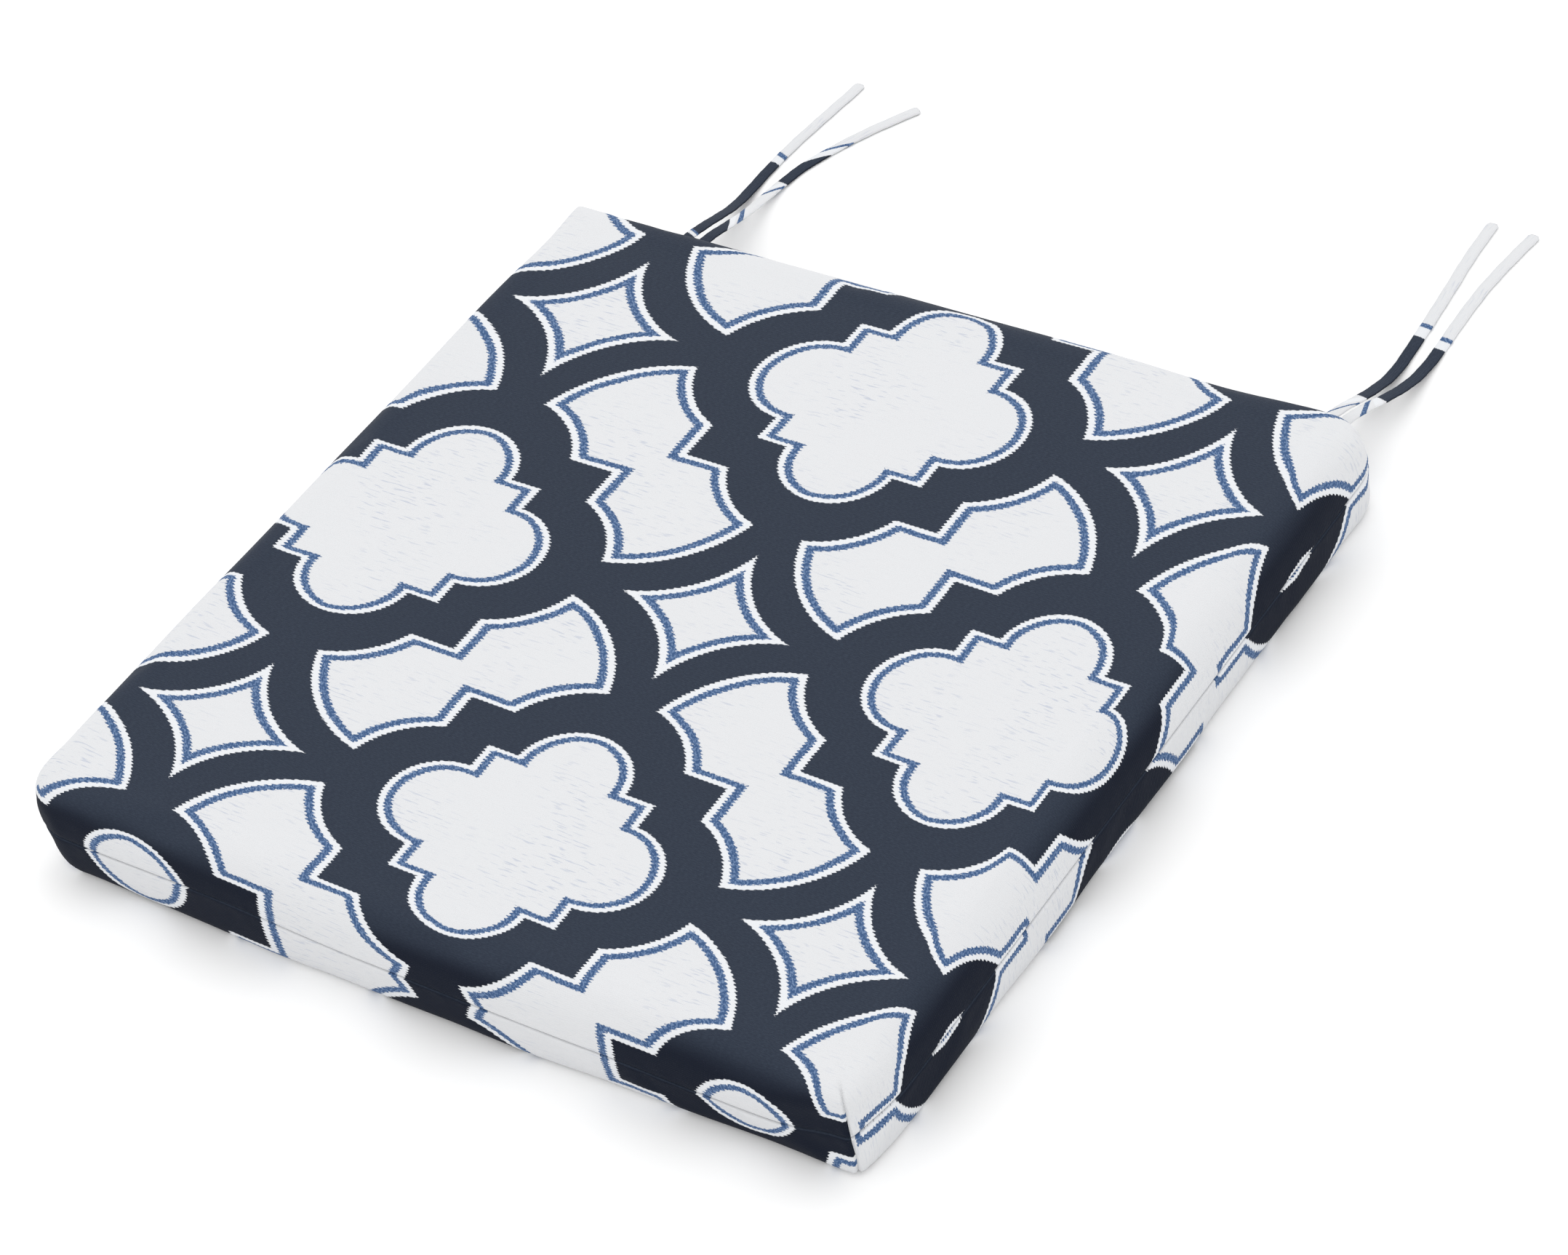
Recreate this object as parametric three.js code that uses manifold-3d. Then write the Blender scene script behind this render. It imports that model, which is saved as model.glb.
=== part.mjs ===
// A square chair seat pad with four tie straps: printed fabric covers over a wrapped foam slab,
// and a coil zip in the back seam. Millimetres, +Z up, +X to the right, +Y to the back (the ties).
// The origin is on the surface the pad lies on, under the middle of the covers.
import * as THREE from 'three';
import { mergeVertices } from 'three/addons/utils/BufferGeometryUtils.js';
import Module from 'manifold-3d';

const wasm = await Module();
wasm.setup();

// ---- Driving dimensions ----
const PAD_WIDTH = 470; // X, over the side seams
const PAD_DEPTH = 476; // Y, over the front and back seams
const PAD_THICKNESS = 51; // at the edge of the top, before its crown
const CROWN = 4; // rise of the top's middle over its edge
const CORNER_RADIUS = 14; // in plan, at the seam
const TOP_ROUNDING = { reach: 20, squareness: 2.6 }; // how far in from the seam the top's edge rounds
const BOTTOM_ROUNDING = { reach: 12, squareness: 3.2 };
const SEAM_HEIGHT = PAD_THICKNESS / 2; // one seam runs all round at mid height
const FABRIC = 1.2; // cover fabric with its backing
const SEAM_ALLOWANCE = 6; // turned inwards along the seam
const BATTING = 6; // fibre wrap between the covers and the foam
const CLEARANCE = 0.3; // between pieces that touch

const ZIP = {
  left: -150, // ends of the two tooth rows
  right: 165,
  rowGap: 1.4, // the slider's post runs in it
  rowHeight: 2.3, // each row, across the zip
  rowInner: 231.9, // Y of the rows' inner and outer faces
  rowOuter: 233.7,
  tapeInner: 232.5,
  tapeThickness: 0.6,
  tapeHeight: 9.5, // each tape, from its row outwards
  tapeOverrun: 8, // past each end of the rows
  slotOverrun: 9, // the opening in the seam, past each end of the rows
  slotHalf: 4.5, // half the opening's height
  stopLength: 2.4,
};

const SLIDER = {
  length: 11,
  halfHeight: 3.8,
  plate: 0.8, // thickness of the inner and outer plates
  postHalf: 0.4,
  postLength: 4,
  lugLength: 7, // the arch that holds the pull tab
  lugHalf: 1,
  lugRise: 2.4,
  lugWall: 0.8,
  parkedFromEnd: 9.5, // slider middle to the row's end when the zip is closed
};

const TAB = {
  length: 24,
  halfHeight: 3.2,
  thickness: 0.9,
  windowLength: 4.8, // the window that the arch's leg stands in
  windowHalf: 1.7,
  gripHole: 1.3,
};

const TIE = {
  width: 6.5,
  thickness: 1.4,
  ease: 0.35, // off the strip's long edges
  steps: 26,
  notchGap: 0.4, // round the strip where it passes through the seam
};

// Routes of the ties' middles, from inside the seam to the free end lying on the surface.
const TIE_ROUTES = {
  tie_left_outer: [
    [-177, 232.5, 25.5], [-177, 238, 25.5], [-177, 246, 25.1], [-177, 256, 23.8], [-177.5, 268, 20.4],
    [-179.5, 282, 14.8], [-182.5, 296, 8.6], [-185.5, 310, 3.9], [-187.5, 324, 1.5], [-188, 340, 1],
    [-187.5, 356, 1], [-186.5, 370, 1], [-185, 384, 1], [-183.5, 398, 1], [-182, 410, 1], [-181, 421, 1],
  ],
  tie_left_inner: [
    [-167, 232.5, 25.5], [-167, 238, 25.5], [-167, 246, 25.2], [-166.8, 256, 24.1], [-166.8, 268, 21],
    [-168, 282, 16.2], [-170.6, 296, 10.6], [-173.4, 311, 5.5], [-174.6, 325, 2.2], [-173.6, 338, 1],
    [-170.8, 350, 1], [-166.2, 362, 1], [-161, 374, 1], [-154.5, 387, 1], [-147, 400, 1], [-139, 413, 1],
  ],
  tie_right_inner: [
    [196.5, 232.5, 25.5], [196.5, 238, 25.5], [196.8, 246, 25], [197.8, 256, 23], [198.6, 268, 19],
    [198.8, 281, 13.4], [198.6, 295, 7.8], [198.2, 309, 3.4], [197.4, 323, 1.4], [196.4, 338, 1],
    [195.4, 354, 1], [194.2, 370, 1], [193, 386, 1], [191.6, 402, 1], [190.8, 418, 1], [190.5, 436, 1],
  ],
  tie_right_outer: [
    [204.5, 232.5, 25.5], [204.5, 238, 25.5], [205.4, 246, 25.1], [206.8, 256, 23.6], [208.4, 268, 20.2],
    [209.8, 281, 15.2], [210.6, 295, 9.8], [210.8, 309, 5.2], [210.4, 323, 2.2], [209.8, 338, 1],
    [209.2, 354, 1], [208.8, 370, 1], [209, 388, 1], [210.2, 404, 1], [212, 420, 1], [214, 435, 1],
  ],
};

// ---- Colours ----
const NAVY = 0x2b3341;
const OFF_WHITE = 0xececee;
const FOAM_CREAM = 0xe8dfb8;
const FIBRE_WHITE = 0xf4f4f2;
const ZINC = 0x8d9096;

// ---- Outline and surface helpers ----

const CORNER_STEPS = 5;
const SIDE_STEPS = 4;

// Plan outline of the seam, as unit fractions of the half width and half depth, counterclockwise.
function unitOutline() {
  const halfWidth = PAD_WIDTH / 2;
  const halfDepth = PAD_DEPTH / 2;
  const points = [];
  for (let corner = 0; corner < 4; corner++) {
    const signX = corner === 0 || corner === 3 ? 1 : -1;
    const signY = corner < 2 ? 1 : -1;
    const middle = new THREE.Vector2(signX * (halfWidth - CORNER_RADIUS), signY * (halfDepth - CORNER_RADIUS));
    for (let i = 0; i <= CORNER_STEPS; i++) {
      const angle = (corner + i / CORNER_STEPS) * (Math.PI / 2);
      const x = middle.x + CORNER_RADIUS * Math.cos(angle);
      const y = middle.y + CORNER_RADIUS * Math.sin(angle);
      points.push(new THREE.Vector2(x / halfWidth, y / halfDepth));
    }
  }
  const withSides = [];
  points.forEach((point, i) => {
    withSides.push(point);
    if ((i + 1) % (CORNER_STEPS + 1) === 0) {
      const next = points[(i + 1) % points.length];
      for (let s = 1; s < SIDE_STEPS; s++) withSides.push(point.clone().lerp(next, s / SIDE_STEPS));
    }
  });
  return withSides;
}

const OUTLINE = unitOutline();

// A ring of points that follows the outline, set in from the seam, at a height with a share of crown.
function ring(inset, height, crown = 0) {
  const halfWidth = PAD_WIDTH / 2 - inset;
  const halfDepth = PAD_DEPTH / 2 - inset;
  return OUTLINE.map(({ x, y }) => {
    const px = x * halfWidth;
    const py = y * halfDepth;
    const rise = crown * (1 - (px / (PAD_WIDTH / 2)) ** 2) * (1 - (py / (PAD_DEPTH / 2)) ** 2);
    return new THREE.Vector3(px, py, height + rise);
  });
}

// A closed surface through rings with the same number of points, with a fan over each end.
function loft(rings) {
  const count = rings[0].length;
  const positions = rings.flat().flatMap((point) => point.toArray());
  const index = [];
  for (let r = 0; r < rings.length - 1; r++) {
    for (let i = 0; i < count; i++) {
      const a = r * count + i;
      const b = r * count + ((i + 1) % count);
      index.push(a, b, b + count, a, b + count, a + count);
    }
  }
  const addFan = (ringPoints, start, flip) => {
    const middle = ringPoints.reduce((sum, p) => sum.add(p), new THREE.Vector3()).divideScalar(count);
    const centre = positions.length / 3;
    positions.push(...middle.toArray());
    for (let i = 0; i < count; i++) {
      const a = start + i;
      const b = start + ((i + 1) % count);
      index.push(...(flip ? [centre, b, a] : [centre, a, b]));
    }
  };
  addFan(rings[0], 0, true);
  addFan(rings.at(-1), (rings.length - 1) * count, false);
  const geometry = new THREE.BufferGeometry();
  geometry.setAttribute('position', new THREE.Float32BufferAttribute(positions, 3));
  geometry.setIndex(index);
  return geometry;
}

// Rings of a rounded edge and the flat beyond it, from the seam to the middle of the pad.
// side is +1 for the upper half of the pad and -1 for the lower half.
function halfRings({ inset, rimHeight, faceHeight, rounding, crown, edgeSteps, side }) {
  const rings = [];
  const reach = rounding.reach - inset;
  const rise = faceHeight - rimHeight;
  for (let i = 0; i <= edgeSteps; i++) {
    const angle = (i / edgeSteps) * (Math.PI / 2);
    const across = 1 - Math.cos(angle) ** (2 / rounding.squareness);
    const up = Math.sin(angle) ** (2 / rounding.squareness);
    rings.push(ring(inset + reach * across, rimHeight + rise * up, crown * up));
  }
  const flat = PAD_WIDTH / 2 - rounding.reach;
  for (const share of [0.3, 0.62, 0.9]) rings.push(ring(rounding.reach + flat * share, faceHeight, crown));
  return side > 0 ? rings : rings.reverse();
}

// ---- Boolean helpers ----

function toSolid(geometry) {
  const bare = geometry.clone();
  bare.deleteAttribute('normal');
  bare.deleteAttribute('uv');
  const merged = mergeVertices(bare, 1e-4);
  return new wasm.Manifold(new wasm.Mesh({
    numProp: 3,
    vertProperties: new Float32Array(merged.attributes.position.array),
    triVerts: new Uint32Array(merged.index.array),
  }));
}

function toGeometry(solid) {
  const mesh = solid.getMesh();
  const geometry = new THREE.BufferGeometry();
  geometry.setAttribute('position', new THREE.BufferAttribute(new Float32Array(mesh.vertProperties), 3));
  geometry.setIndex(new THREE.BufferAttribute(new Uint32Array(mesh.triVerts), 1));
  return geometry;
}

// A box between two corners, in the part's frame.
function boxBetween(low, high) {
  const size = high.map((value, i) => value - low[i]);
  const middle = high.map((value, i) => (value + low[i]) / 2);
  return new THREE.BoxGeometry(...size).translate(...middle);
}

function cut(geometry, cutters) {
  const left = cutters.reduce((solid, cutter) => solid.subtract(toSolid(cutter)), toSolid(geometry));
  return toGeometry(left);
}

function join(geometries) {
  return toGeometry(geometries.map(toSolid).reduce((sum, solid) => sum.add(solid)));
}

// ---- Openings in the back seam ----

const BACK = PAD_DEPTH / 2;
const FOAM_INSET = FABRIC + BATTING + 2 * CLEARANCE;

const ZIP_SLOT = boxBetween(
  [ZIP.left - ZIP.slotOverrun, BACK - SEAM_ALLOWANCE - FABRIC - 1, SEAM_HEIGHT - ZIP.slotHalf],
  [ZIP.right + ZIP.slotOverrun, BACK + 2, SEAM_HEIGHT + ZIP.slotHalf],
);

const TAPE_REACH = ZIP.rowGap / 2 + ZIP.rowHeight + ZIP.tapeHeight;
const BATTING_SLOT = boxBetween(
  [ZIP.left - ZIP.slotOverrun, BACK - FOAM_INSET - 1, SEAM_HEIGHT - TAPE_REACH - 1],
  [ZIP.right + ZIP.slotOverrun, BACK + 2, SEAM_HEIGHT + TAPE_REACH + 1],
);

const NOTCH_HALF = { across: TIE.width / 2 + TIE.notchGap, up: TIE.thickness / 2 + TIE.notchGap };
const TIE_NOTCHES = Object.values(TIE_ROUTES).map(([[x, y]]) => boxBetween(
  [x - NOTCH_HALF.across, y - 2, SEAM_HEIGHT - NOTCH_HALF.up],
  [x + NOTCH_HALF.across, BACK + 2, SEAM_HEIGHT + NOTCH_HALF.up],
));

// ---- Covers, batting and foam ----

// One half of the cover: face, side wall and the seam allowance turned inwards.
function cover(side) {
  const rounding = side > 0 ? TOP_ROUNDING : BOTTOM_ROUNDING;
  const crown = side > 0 ? CROWN : 0;
  const rim = SEAM_HEIGHT + (side * CLEARANCE) / 2;
  const face = side > 0 ? PAD_THICKNESS : 0;
  const fold = rim + side * FABRIC;
  const outer = halfRings({ inset: 0, rimHeight: rim, faceHeight: face, rounding, crown, edgeSteps: 7, side: 1 });
  const inner = halfRings({
    inset: FABRIC, rimHeight: fold, faceHeight: face - side * FABRIC, rounding, crown, edgeSteps: 7, side: -1,
  });
  const allowance = ring(FABRIC + SEAM_ALLOWANCE, fold);
  const allowanceEdge = ring(FABRIC + SEAM_ALLOWANCE, rim);
  const rings = [...inner, allowance, allowanceEdge, ...outer];
  return cut(loft(side > 0 ? rings : rings.reverse()), [ZIP_SLOT, ...TIE_NOTCHES]);
}

// One half of the fibre wrap: it lies inside its cover and stops at the seam allowance.
function batting(side) {
  const rounding = side > 0 ? TOP_ROUNDING : BOTTOM_ROUNDING;
  const crown = side > 0 ? CROWN : 0;
  const outset = FABRIC + CLEARANCE;
  const rim = SEAM_HEIGHT + side * (CLEARANCE / 2 + FABRIC + CLEARANCE);
  const face = side > 0 ? PAD_THICKNESS - outset : outset;
  const outer = halfRings({ inset: outset, rimHeight: rim, faceHeight: face, rounding, crown, edgeSteps: 4, side: 1 });
  const inner = halfRings({
    inset: outset + BATTING, rimHeight: rim, faceHeight: face - side * BATTING, rounding, crown, edgeSteps: 4, side: -1,
  });
  const rings = [...inner, ...outer];
  return cut(loft(side > 0 ? rings : rings.reverse()), [BATTING_SLOT]);
}

// The foam slab, with its edges eased as the wrap presses them.
function foamCore() {
  const upper = halfRings({
    inset: FOAM_INSET, rimHeight: SEAM_HEIGHT, faceHeight: PAD_THICKNESS - FOAM_INSET,
    rounding: TOP_ROUNDING, crown: CROWN, edgeSteps: 4, side: 1,
  });
  const lower = halfRings({
    inset: FOAM_INSET, rimHeight: SEAM_HEIGHT, faceHeight: FOAM_INSET,
    rounding: BOTTOM_ROUNDING, crown: 0, edgeSteps: 4, side: -1,
  });
  return loft([...lower.slice(0, -1), ...upper]);
}

// ---- Zip ----

const ROW_NEAR = ZIP.rowGap / 2;
const ROW_FAR = ROW_NEAR + ZIP.rowHeight;

// A box given by its distance above or below the seam.
function acrossSeam(side, x, y, near, far) {
  const heights = [SEAM_HEIGHT + side * near, SEAM_HEIGHT + side * far].sort((a, b) => a - b);
  return boxBetween([x[0], y[0], heights[0]], [x[1], y[1], heights[1]]);
}

function zipRow(side) {
  return acrossSeam(side, [ZIP.left, ZIP.right], [ZIP.rowInner, ZIP.rowOuter], ROW_NEAR, ROW_FAR);
}

function zipTape(side) {
  const x = [ZIP.left - ZIP.tapeOverrun, ZIP.right + ZIP.tapeOverrun];
  const y = [ZIP.tapeInner, ZIP.tapeInner + ZIP.tapeThickness];
  return acrossSeam(side, x, y, ROW_FAR + CLEARANCE, ROW_FAR + ZIP.tapeHeight);
}

function zipStop(end) {
  const near = end > 0 ? ZIP.right + CLEARANCE : ZIP.left - CLEARANCE - ZIP.stopLength;
  return boxBetween(
    [near, ZIP.rowInner, SEAM_HEIGHT - ROW_FAR],
    [near + ZIP.stopLength, ZIP.rowOuter, SEAM_HEIGHT + ROW_FAR],
  );
}

// Two plates either side of the rows, the post between them, and the arch for the pull tab.
// Its own frame has X along the zip, Y across the plates and Z up, centred on the rows.
function sliderBody() {
  const { length, halfHeight, plate, postHalf, postLength, lugLength, lugHalf, lugRise, lugWall } = SLIDER;
  const rowHalf = (ZIP.rowOuter - ZIP.rowInner) / 2 + CLEARANCE;
  const plateShape = new THREE.Shape();
  plateShape.moveTo(-length / 2, -halfHeight * 0.75);
  plateShape.quadraticCurveTo(0, -halfHeight * 1.25, length / 2, -halfHeight);
  plateShape.quadraticCurveTo(length / 2 + 1, 0, length / 2, halfHeight);
  plateShape.quadraticCurveTo(0, halfHeight * 1.25, -length / 2, halfHeight * 0.75);
  plateShape.closePath();
  const plateAt = (y) => new THREE.ExtrudeGeometry(plateShape, { depth: plate, bevelEnabled: false, curveSegments: 6 })
    .rotateX(Math.PI / 2)
    .translate(0, y + plate, 0);
  const post = boxBetween(
    [length / 2 - postLength, -rowHalf - plate / 2, -postHalf],
    [length / 2 - 0.5, rowHalf + plate / 2, postHalf],
  );
  const arch = cut(
    boxBetween([-lugLength / 2, rowHalf + plate / 2, -lugHalf], [lugLength / 2, rowHalf + plate + lugRise, lugHalf]),
    [boxBetween(
      [-lugLength / 2 + lugWall, rowHalf + plate, -lugHalf - 1],
      [lugLength / 2 - lugWall, rowHalf + plate + lugRise - lugWall, lugHalf + 1],
    )],
  );
  return join([plateAt(-rowHalf - plate), plateAt(rowHalf), post, arch]);
}

// A flat tab with a window at the arch and a hole at the grip, its hinge line at its own origin.
function pullTab() {
  const { length, halfHeight, thickness, windowLength, windowHalf, gripHole } = TAB;
  const bar = thickness / 2;
  const ease = 1;
  const waist = { x: -windowLength - 3, half: halfHeight * 0.72 };
  const grip = { x: -length + halfHeight, half: halfHeight * 0.85 };
  const shape = new THREE.Shape();
  shape.moveTo(bar, -halfHeight + ease);
  shape.lineTo(bar, halfHeight - ease);
  shape.quadraticCurveTo(bar, halfHeight, bar - ease, halfHeight);
  shape.lineTo(waist.x, waist.half);
  shape.lineTo(grip.x, grip.half);
  shape.absarc(grip.x, 0, grip.half, Math.PI / 2, (3 * Math.PI) / 2, false);
  shape.lineTo(waist.x, -waist.half);
  shape.lineTo(bar - ease, -halfHeight);
  shape.quadraticCurveTo(bar, -halfHeight, bar, -halfHeight + ease);
  const archWindow = new THREE.Path();
  archWindow.moveTo(-bar, -windowHalf);
  archWindow.lineTo(-bar - windowLength, -windowHalf);
  archWindow.lineTo(-bar - windowLength, windowHalf);
  archWindow.lineTo(-bar, windowHalf);
  archWindow.closePath();
  const hole = new THREE.Path().absarc(grip.x, 0, gripHole, 0, 2 * Math.PI, true);
  shape.holes.push(archWindow, hole);
  return new THREE.ExtrudeGeometry(shape, { depth: thickness, bevelEnabled: false, curveSegments: 8 })
    .rotateX(Math.PI / 2)
    .translate(0, thickness / 2, 0);
}

// ---- Ties ----

// The section of a tie: a flat strip with eased edges, across and up from its middle.
function tieSection() {
  const halfWidth = TIE.width / 2;
  const halfThickness = TIE.thickness / 2;
  const quarter = [
    [halfWidth, halfThickness - TIE.ease],
    [halfWidth - TIE.ease, halfThickness],
  ];
  const mirrored = quarter.map(([x, y]) => [-x, y]).reverse();
  const upper = [...quarter, ...mirrored];
  const lower = upper.map(([x, y]) => [x, -y]).reverse();
  return [...upper, ...lower];
}

function tie(route) {
  const path = new THREE.CatmullRomCurve3(route.map((point) => new THREE.Vector3(...point)), false, 'centripetal');
  const up = new THREE.Vector3(0, 0, 1);
  const rings = [];
  for (let i = 0; i <= TIE.steps; i++) {
    const middle = path.getPointAt(i / TIE.steps);
    const tangent = path.getTangentAt(i / TIE.steps);
    const across = tangent.clone().cross(up).normalize();
    const over = across.clone().cross(tangent).normalize();
    rings.push(tieSection().map(([a, b]) => middle.clone().addScaledVector(across, a).addScaledVector(over, b)));
  }
  return loft(rings.reverse());
}

// ---- Assembly ----

function piece(name, geometry, color, roughness = 0.85, metalness = 0) {
  const mesh = new THREE.Mesh(geometry, new THREE.MeshStandardMaterial({ color, roughness, metalness }));
  mesh.name = name;
  return mesh;
}

const pad = new THREE.Group();

pad.add(piece('top_cover', cover(1), OFF_WHITE));
pad.add(piece('bottom_cover', cover(-1), NAVY));
pad.add(piece('batting_top', batting(1), FIBRE_WHITE, 1));
pad.add(piece('batting_bottom', batting(-1), FIBRE_WHITE, 1));
pad.add(piece('foam_core', foamCore(), FOAM_CREAM, 1));

for (const [label, side] of [['upper', 1], ['lower', -1]]) {
  pad.add(piece(`zip_tape_${label}`, zipTape(side), NAVY));
  pad.add(piece(`zip_teeth_${label}`, zipRow(side), NAVY, 0.5));
}
pad.add(piece('zip_stop_left', zipStop(-1), NAVY, 0.5));
pad.add(piece('zip_stop_right', zipStop(1), NAVY, 0.5));

const slider = new THREE.Group();
slider.position.set(ZIP.right - SLIDER.parkedFromEnd, (ZIP.rowInner + ZIP.rowOuter) / 2, SEAM_HEIGHT);
slider.add(piece('zip_slider', sliderBody(), ZINC, 0.4, 1));

const tab = piece('zip_pull_tab', pullTab(), ZINC, 0.4, 1);
const plateOutside = (ZIP.rowOuter - ZIP.rowInner) / 2 + CLEARANCE + SLIDER.plate;
tab.position.set(0, plateOutside + (SLIDER.lugRise - SLIDER.lugWall) / 2, 0);
slider.add(tab);
pad.add(slider);

for (const [name, route] of Object.entries(TIE_ROUTES)) pad.add(piece(name, tie(route), OFF_WHITE));

export default pad;
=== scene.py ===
import math
from functools import partialmethod

import bpy
import numpy as np
from mathutils import Matrix, Vector
from mathutils.bvhtree import BVHTree


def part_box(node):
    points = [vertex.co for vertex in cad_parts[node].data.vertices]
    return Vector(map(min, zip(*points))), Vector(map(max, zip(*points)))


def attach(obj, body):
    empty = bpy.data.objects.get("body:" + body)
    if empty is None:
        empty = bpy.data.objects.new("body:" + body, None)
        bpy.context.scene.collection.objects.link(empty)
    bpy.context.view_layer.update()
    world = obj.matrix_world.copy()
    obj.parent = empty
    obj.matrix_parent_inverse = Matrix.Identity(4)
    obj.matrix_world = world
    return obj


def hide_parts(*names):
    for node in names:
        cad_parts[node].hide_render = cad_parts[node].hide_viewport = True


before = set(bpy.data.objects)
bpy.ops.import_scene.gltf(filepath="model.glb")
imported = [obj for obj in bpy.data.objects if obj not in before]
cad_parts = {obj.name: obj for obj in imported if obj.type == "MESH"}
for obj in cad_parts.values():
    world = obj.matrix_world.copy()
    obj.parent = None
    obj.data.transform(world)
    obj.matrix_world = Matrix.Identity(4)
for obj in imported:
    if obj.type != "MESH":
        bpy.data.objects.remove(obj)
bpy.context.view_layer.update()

# A chair seat pad with four tie straps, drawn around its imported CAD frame.
# Metres, +Z up, +X to the right, +Y to the back edge with the ties.

scene = bpy.context.scene
SEED = 11

# ---- Sizes taken from the frame ----

top_low, top_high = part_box("top_cover")
bottom_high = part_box("bottom_cover")[1]
HALF_X = top_high.x
HALF_Y = top_high.y
SEAM_Z = (top_low.z + bottom_high.z) / 2
CROWN = 0.004
FACE_Z = top_high.z - CROWN
teeth_low, teeth_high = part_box("zip_teeth_upper")
ZIP_LEFT = teeth_low.x
ZIP_RIGHT = teeth_high.x

# ---- Camera ----

CAMERA_PLACE = Vector((1.1032, -1.2016, 1.4959))
CAMERA_AZIMUTH = math.radians(41.25)
CAMERA_ELEVATION = math.radians(42.13)
CAMERA_ROLL = math.radians(12.52)
CAMERA_LENS = 107.54


def make_camera():
    data = bpy.data.cameras.new("camera")
    data.sensor_width = 36
    data.lens = CAMERA_LENS
    data.clip_start = 0.05
    data.clip_end = 30
    camera = bpy.data.objects.new("camera", data)
    scene.collection.objects.link(camera)
    forward = Vector((
        -math.sin(CAMERA_AZIMUTH) * math.cos(CAMERA_ELEVATION),
        math.cos(CAMERA_AZIMUTH) * math.cos(CAMERA_ELEVATION),
        -math.sin(CAMERA_ELEVATION),
    ))
    level = forward.cross(Vector((0, 0, 1))).normalized()
    upright = level.cross(forward)
    right = level * math.cos(CAMERA_ROLL) - upright * math.sin(CAMERA_ROLL)
    up = upright * math.cos(CAMERA_ROLL) + level * math.sin(CAMERA_ROLL)
    turn = Matrix((right, up, -forward)).transposed()
    camera.matrix_world = Matrix.Translation(CAMERA_PLACE) @ turn.to_4x4()
    scene.camera = camera


# ---- Mesh helpers ----


def make_object(name, points, faces, uv=None):
    mesh = bpy.data.meshes.new(name)
    mesh.from_pydata([tuple(p) for p in points], [], [tuple(f) for f in faces])
    if uv is not None:
        layer = mesh.uv_layers.new(name="fabric")
        layer.data.foreach_set("uv", np.asarray(uv, np.float32).ravel())
    mesh.shade_smooth()
    mesh.validate()
    made = bpy.data.objects.new(name, mesh)
    scene.collection.objects.link(made)
    return made


def apply_modifiers(made):
    depsgraph = bpy.context.evaluated_depsgraph_get()
    mesh = bpy.data.meshes.new_from_object(made.evaluated_get(depsgraph), depsgraph=depsgraph)
    made.modifiers.clear()
    made.data = mesh


def subdivide(made):
    modifier = made.modifiers.new("subdivision", "SUBSURF")
    modifier.levels = 1
    modifier.render_levels = 1
    modifier.boundary_smooth = "PRESERVE_CORNERS"
    apply_modifiers(made)


def coordinates(mesh):
    flat = np.zeros(len(mesh.vertices) * 3, np.float32)
    mesh.vertices.foreach_get("co", flat)
    return flat.reshape(-1, 3).astype(float)


def set_coordinates(mesh, points):
    mesh.vertices.foreach_set("co", np.asarray(points, np.float32).ravel())
    mesh.update()


def normals_of(mesh):
    return np.array([v.normal for v in mesh.vertices])


def push_out(made, shift):
    """Moves each point of a mesh along its own normal."""
    set_coordinates(made.data, coordinates(made.data) + normals_of(made.data) * shift[:, None])


def store(mesh, name, values):
    attribute = mesh.attributes.new(name, "FLOAT", "POINT")
    attribute.data.foreach_set("value", np.asarray(values, np.float32))


def read(mesh, name):
    values = np.zeros(len(mesh.vertices), np.float32)
    mesh.attributes[name].data.foreach_get("value", values)
    return values.astype(float)


def smooth_step(low, high, value):
    t = np.clip((value - low) / (high - low), 0, 1)
    return t * t * (3 - 2 * t)


def ripple(points, waves, seed):
    """A gentle sum of waves over the plan, from about -1 to 1, the same on every run."""
    random = np.random.default_rng(seed)
    total = np.zeros(len(points))
    for wavelength in waves:
        angle = random.uniform(0, math.tau)
        phase = random.uniform(0, math.tau)
        along = points[:, 0] * math.cos(angle) + points[:, 1] * math.sin(angle) + points[:, 2] * 0.7
        total += np.sin(math.tau * along / wavelength + phase)
    return total / len(waves)


def dress(made, material, node=None):
    """Every piece rides on the pad."""
    made.data.materials.append(material)
    if node is not None:
        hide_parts(node)
    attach(made, "pad")


# ---- Ties: four free straps, each of one sewn strip of the cover's fabric ----

TIE_WIDTH = 0.0065
TIE_THICKNESS = 0.0014
TIE_REST = 0.001  # height of a strap's middle where it lies on the floor
TIE_END = 0.0012  # how far before its free end a strap starts to round off
TIE_GROOVE = {"depth": 0.00022, "place": 0.66, "width": 0.00035}  # the stitch line near each edge
TIE_WAVE = {"height": 0.00012, "length": 0.0063}
TIE_EDGE_WAVE = {"height": 0.00015, "length": 0.017}
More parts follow.
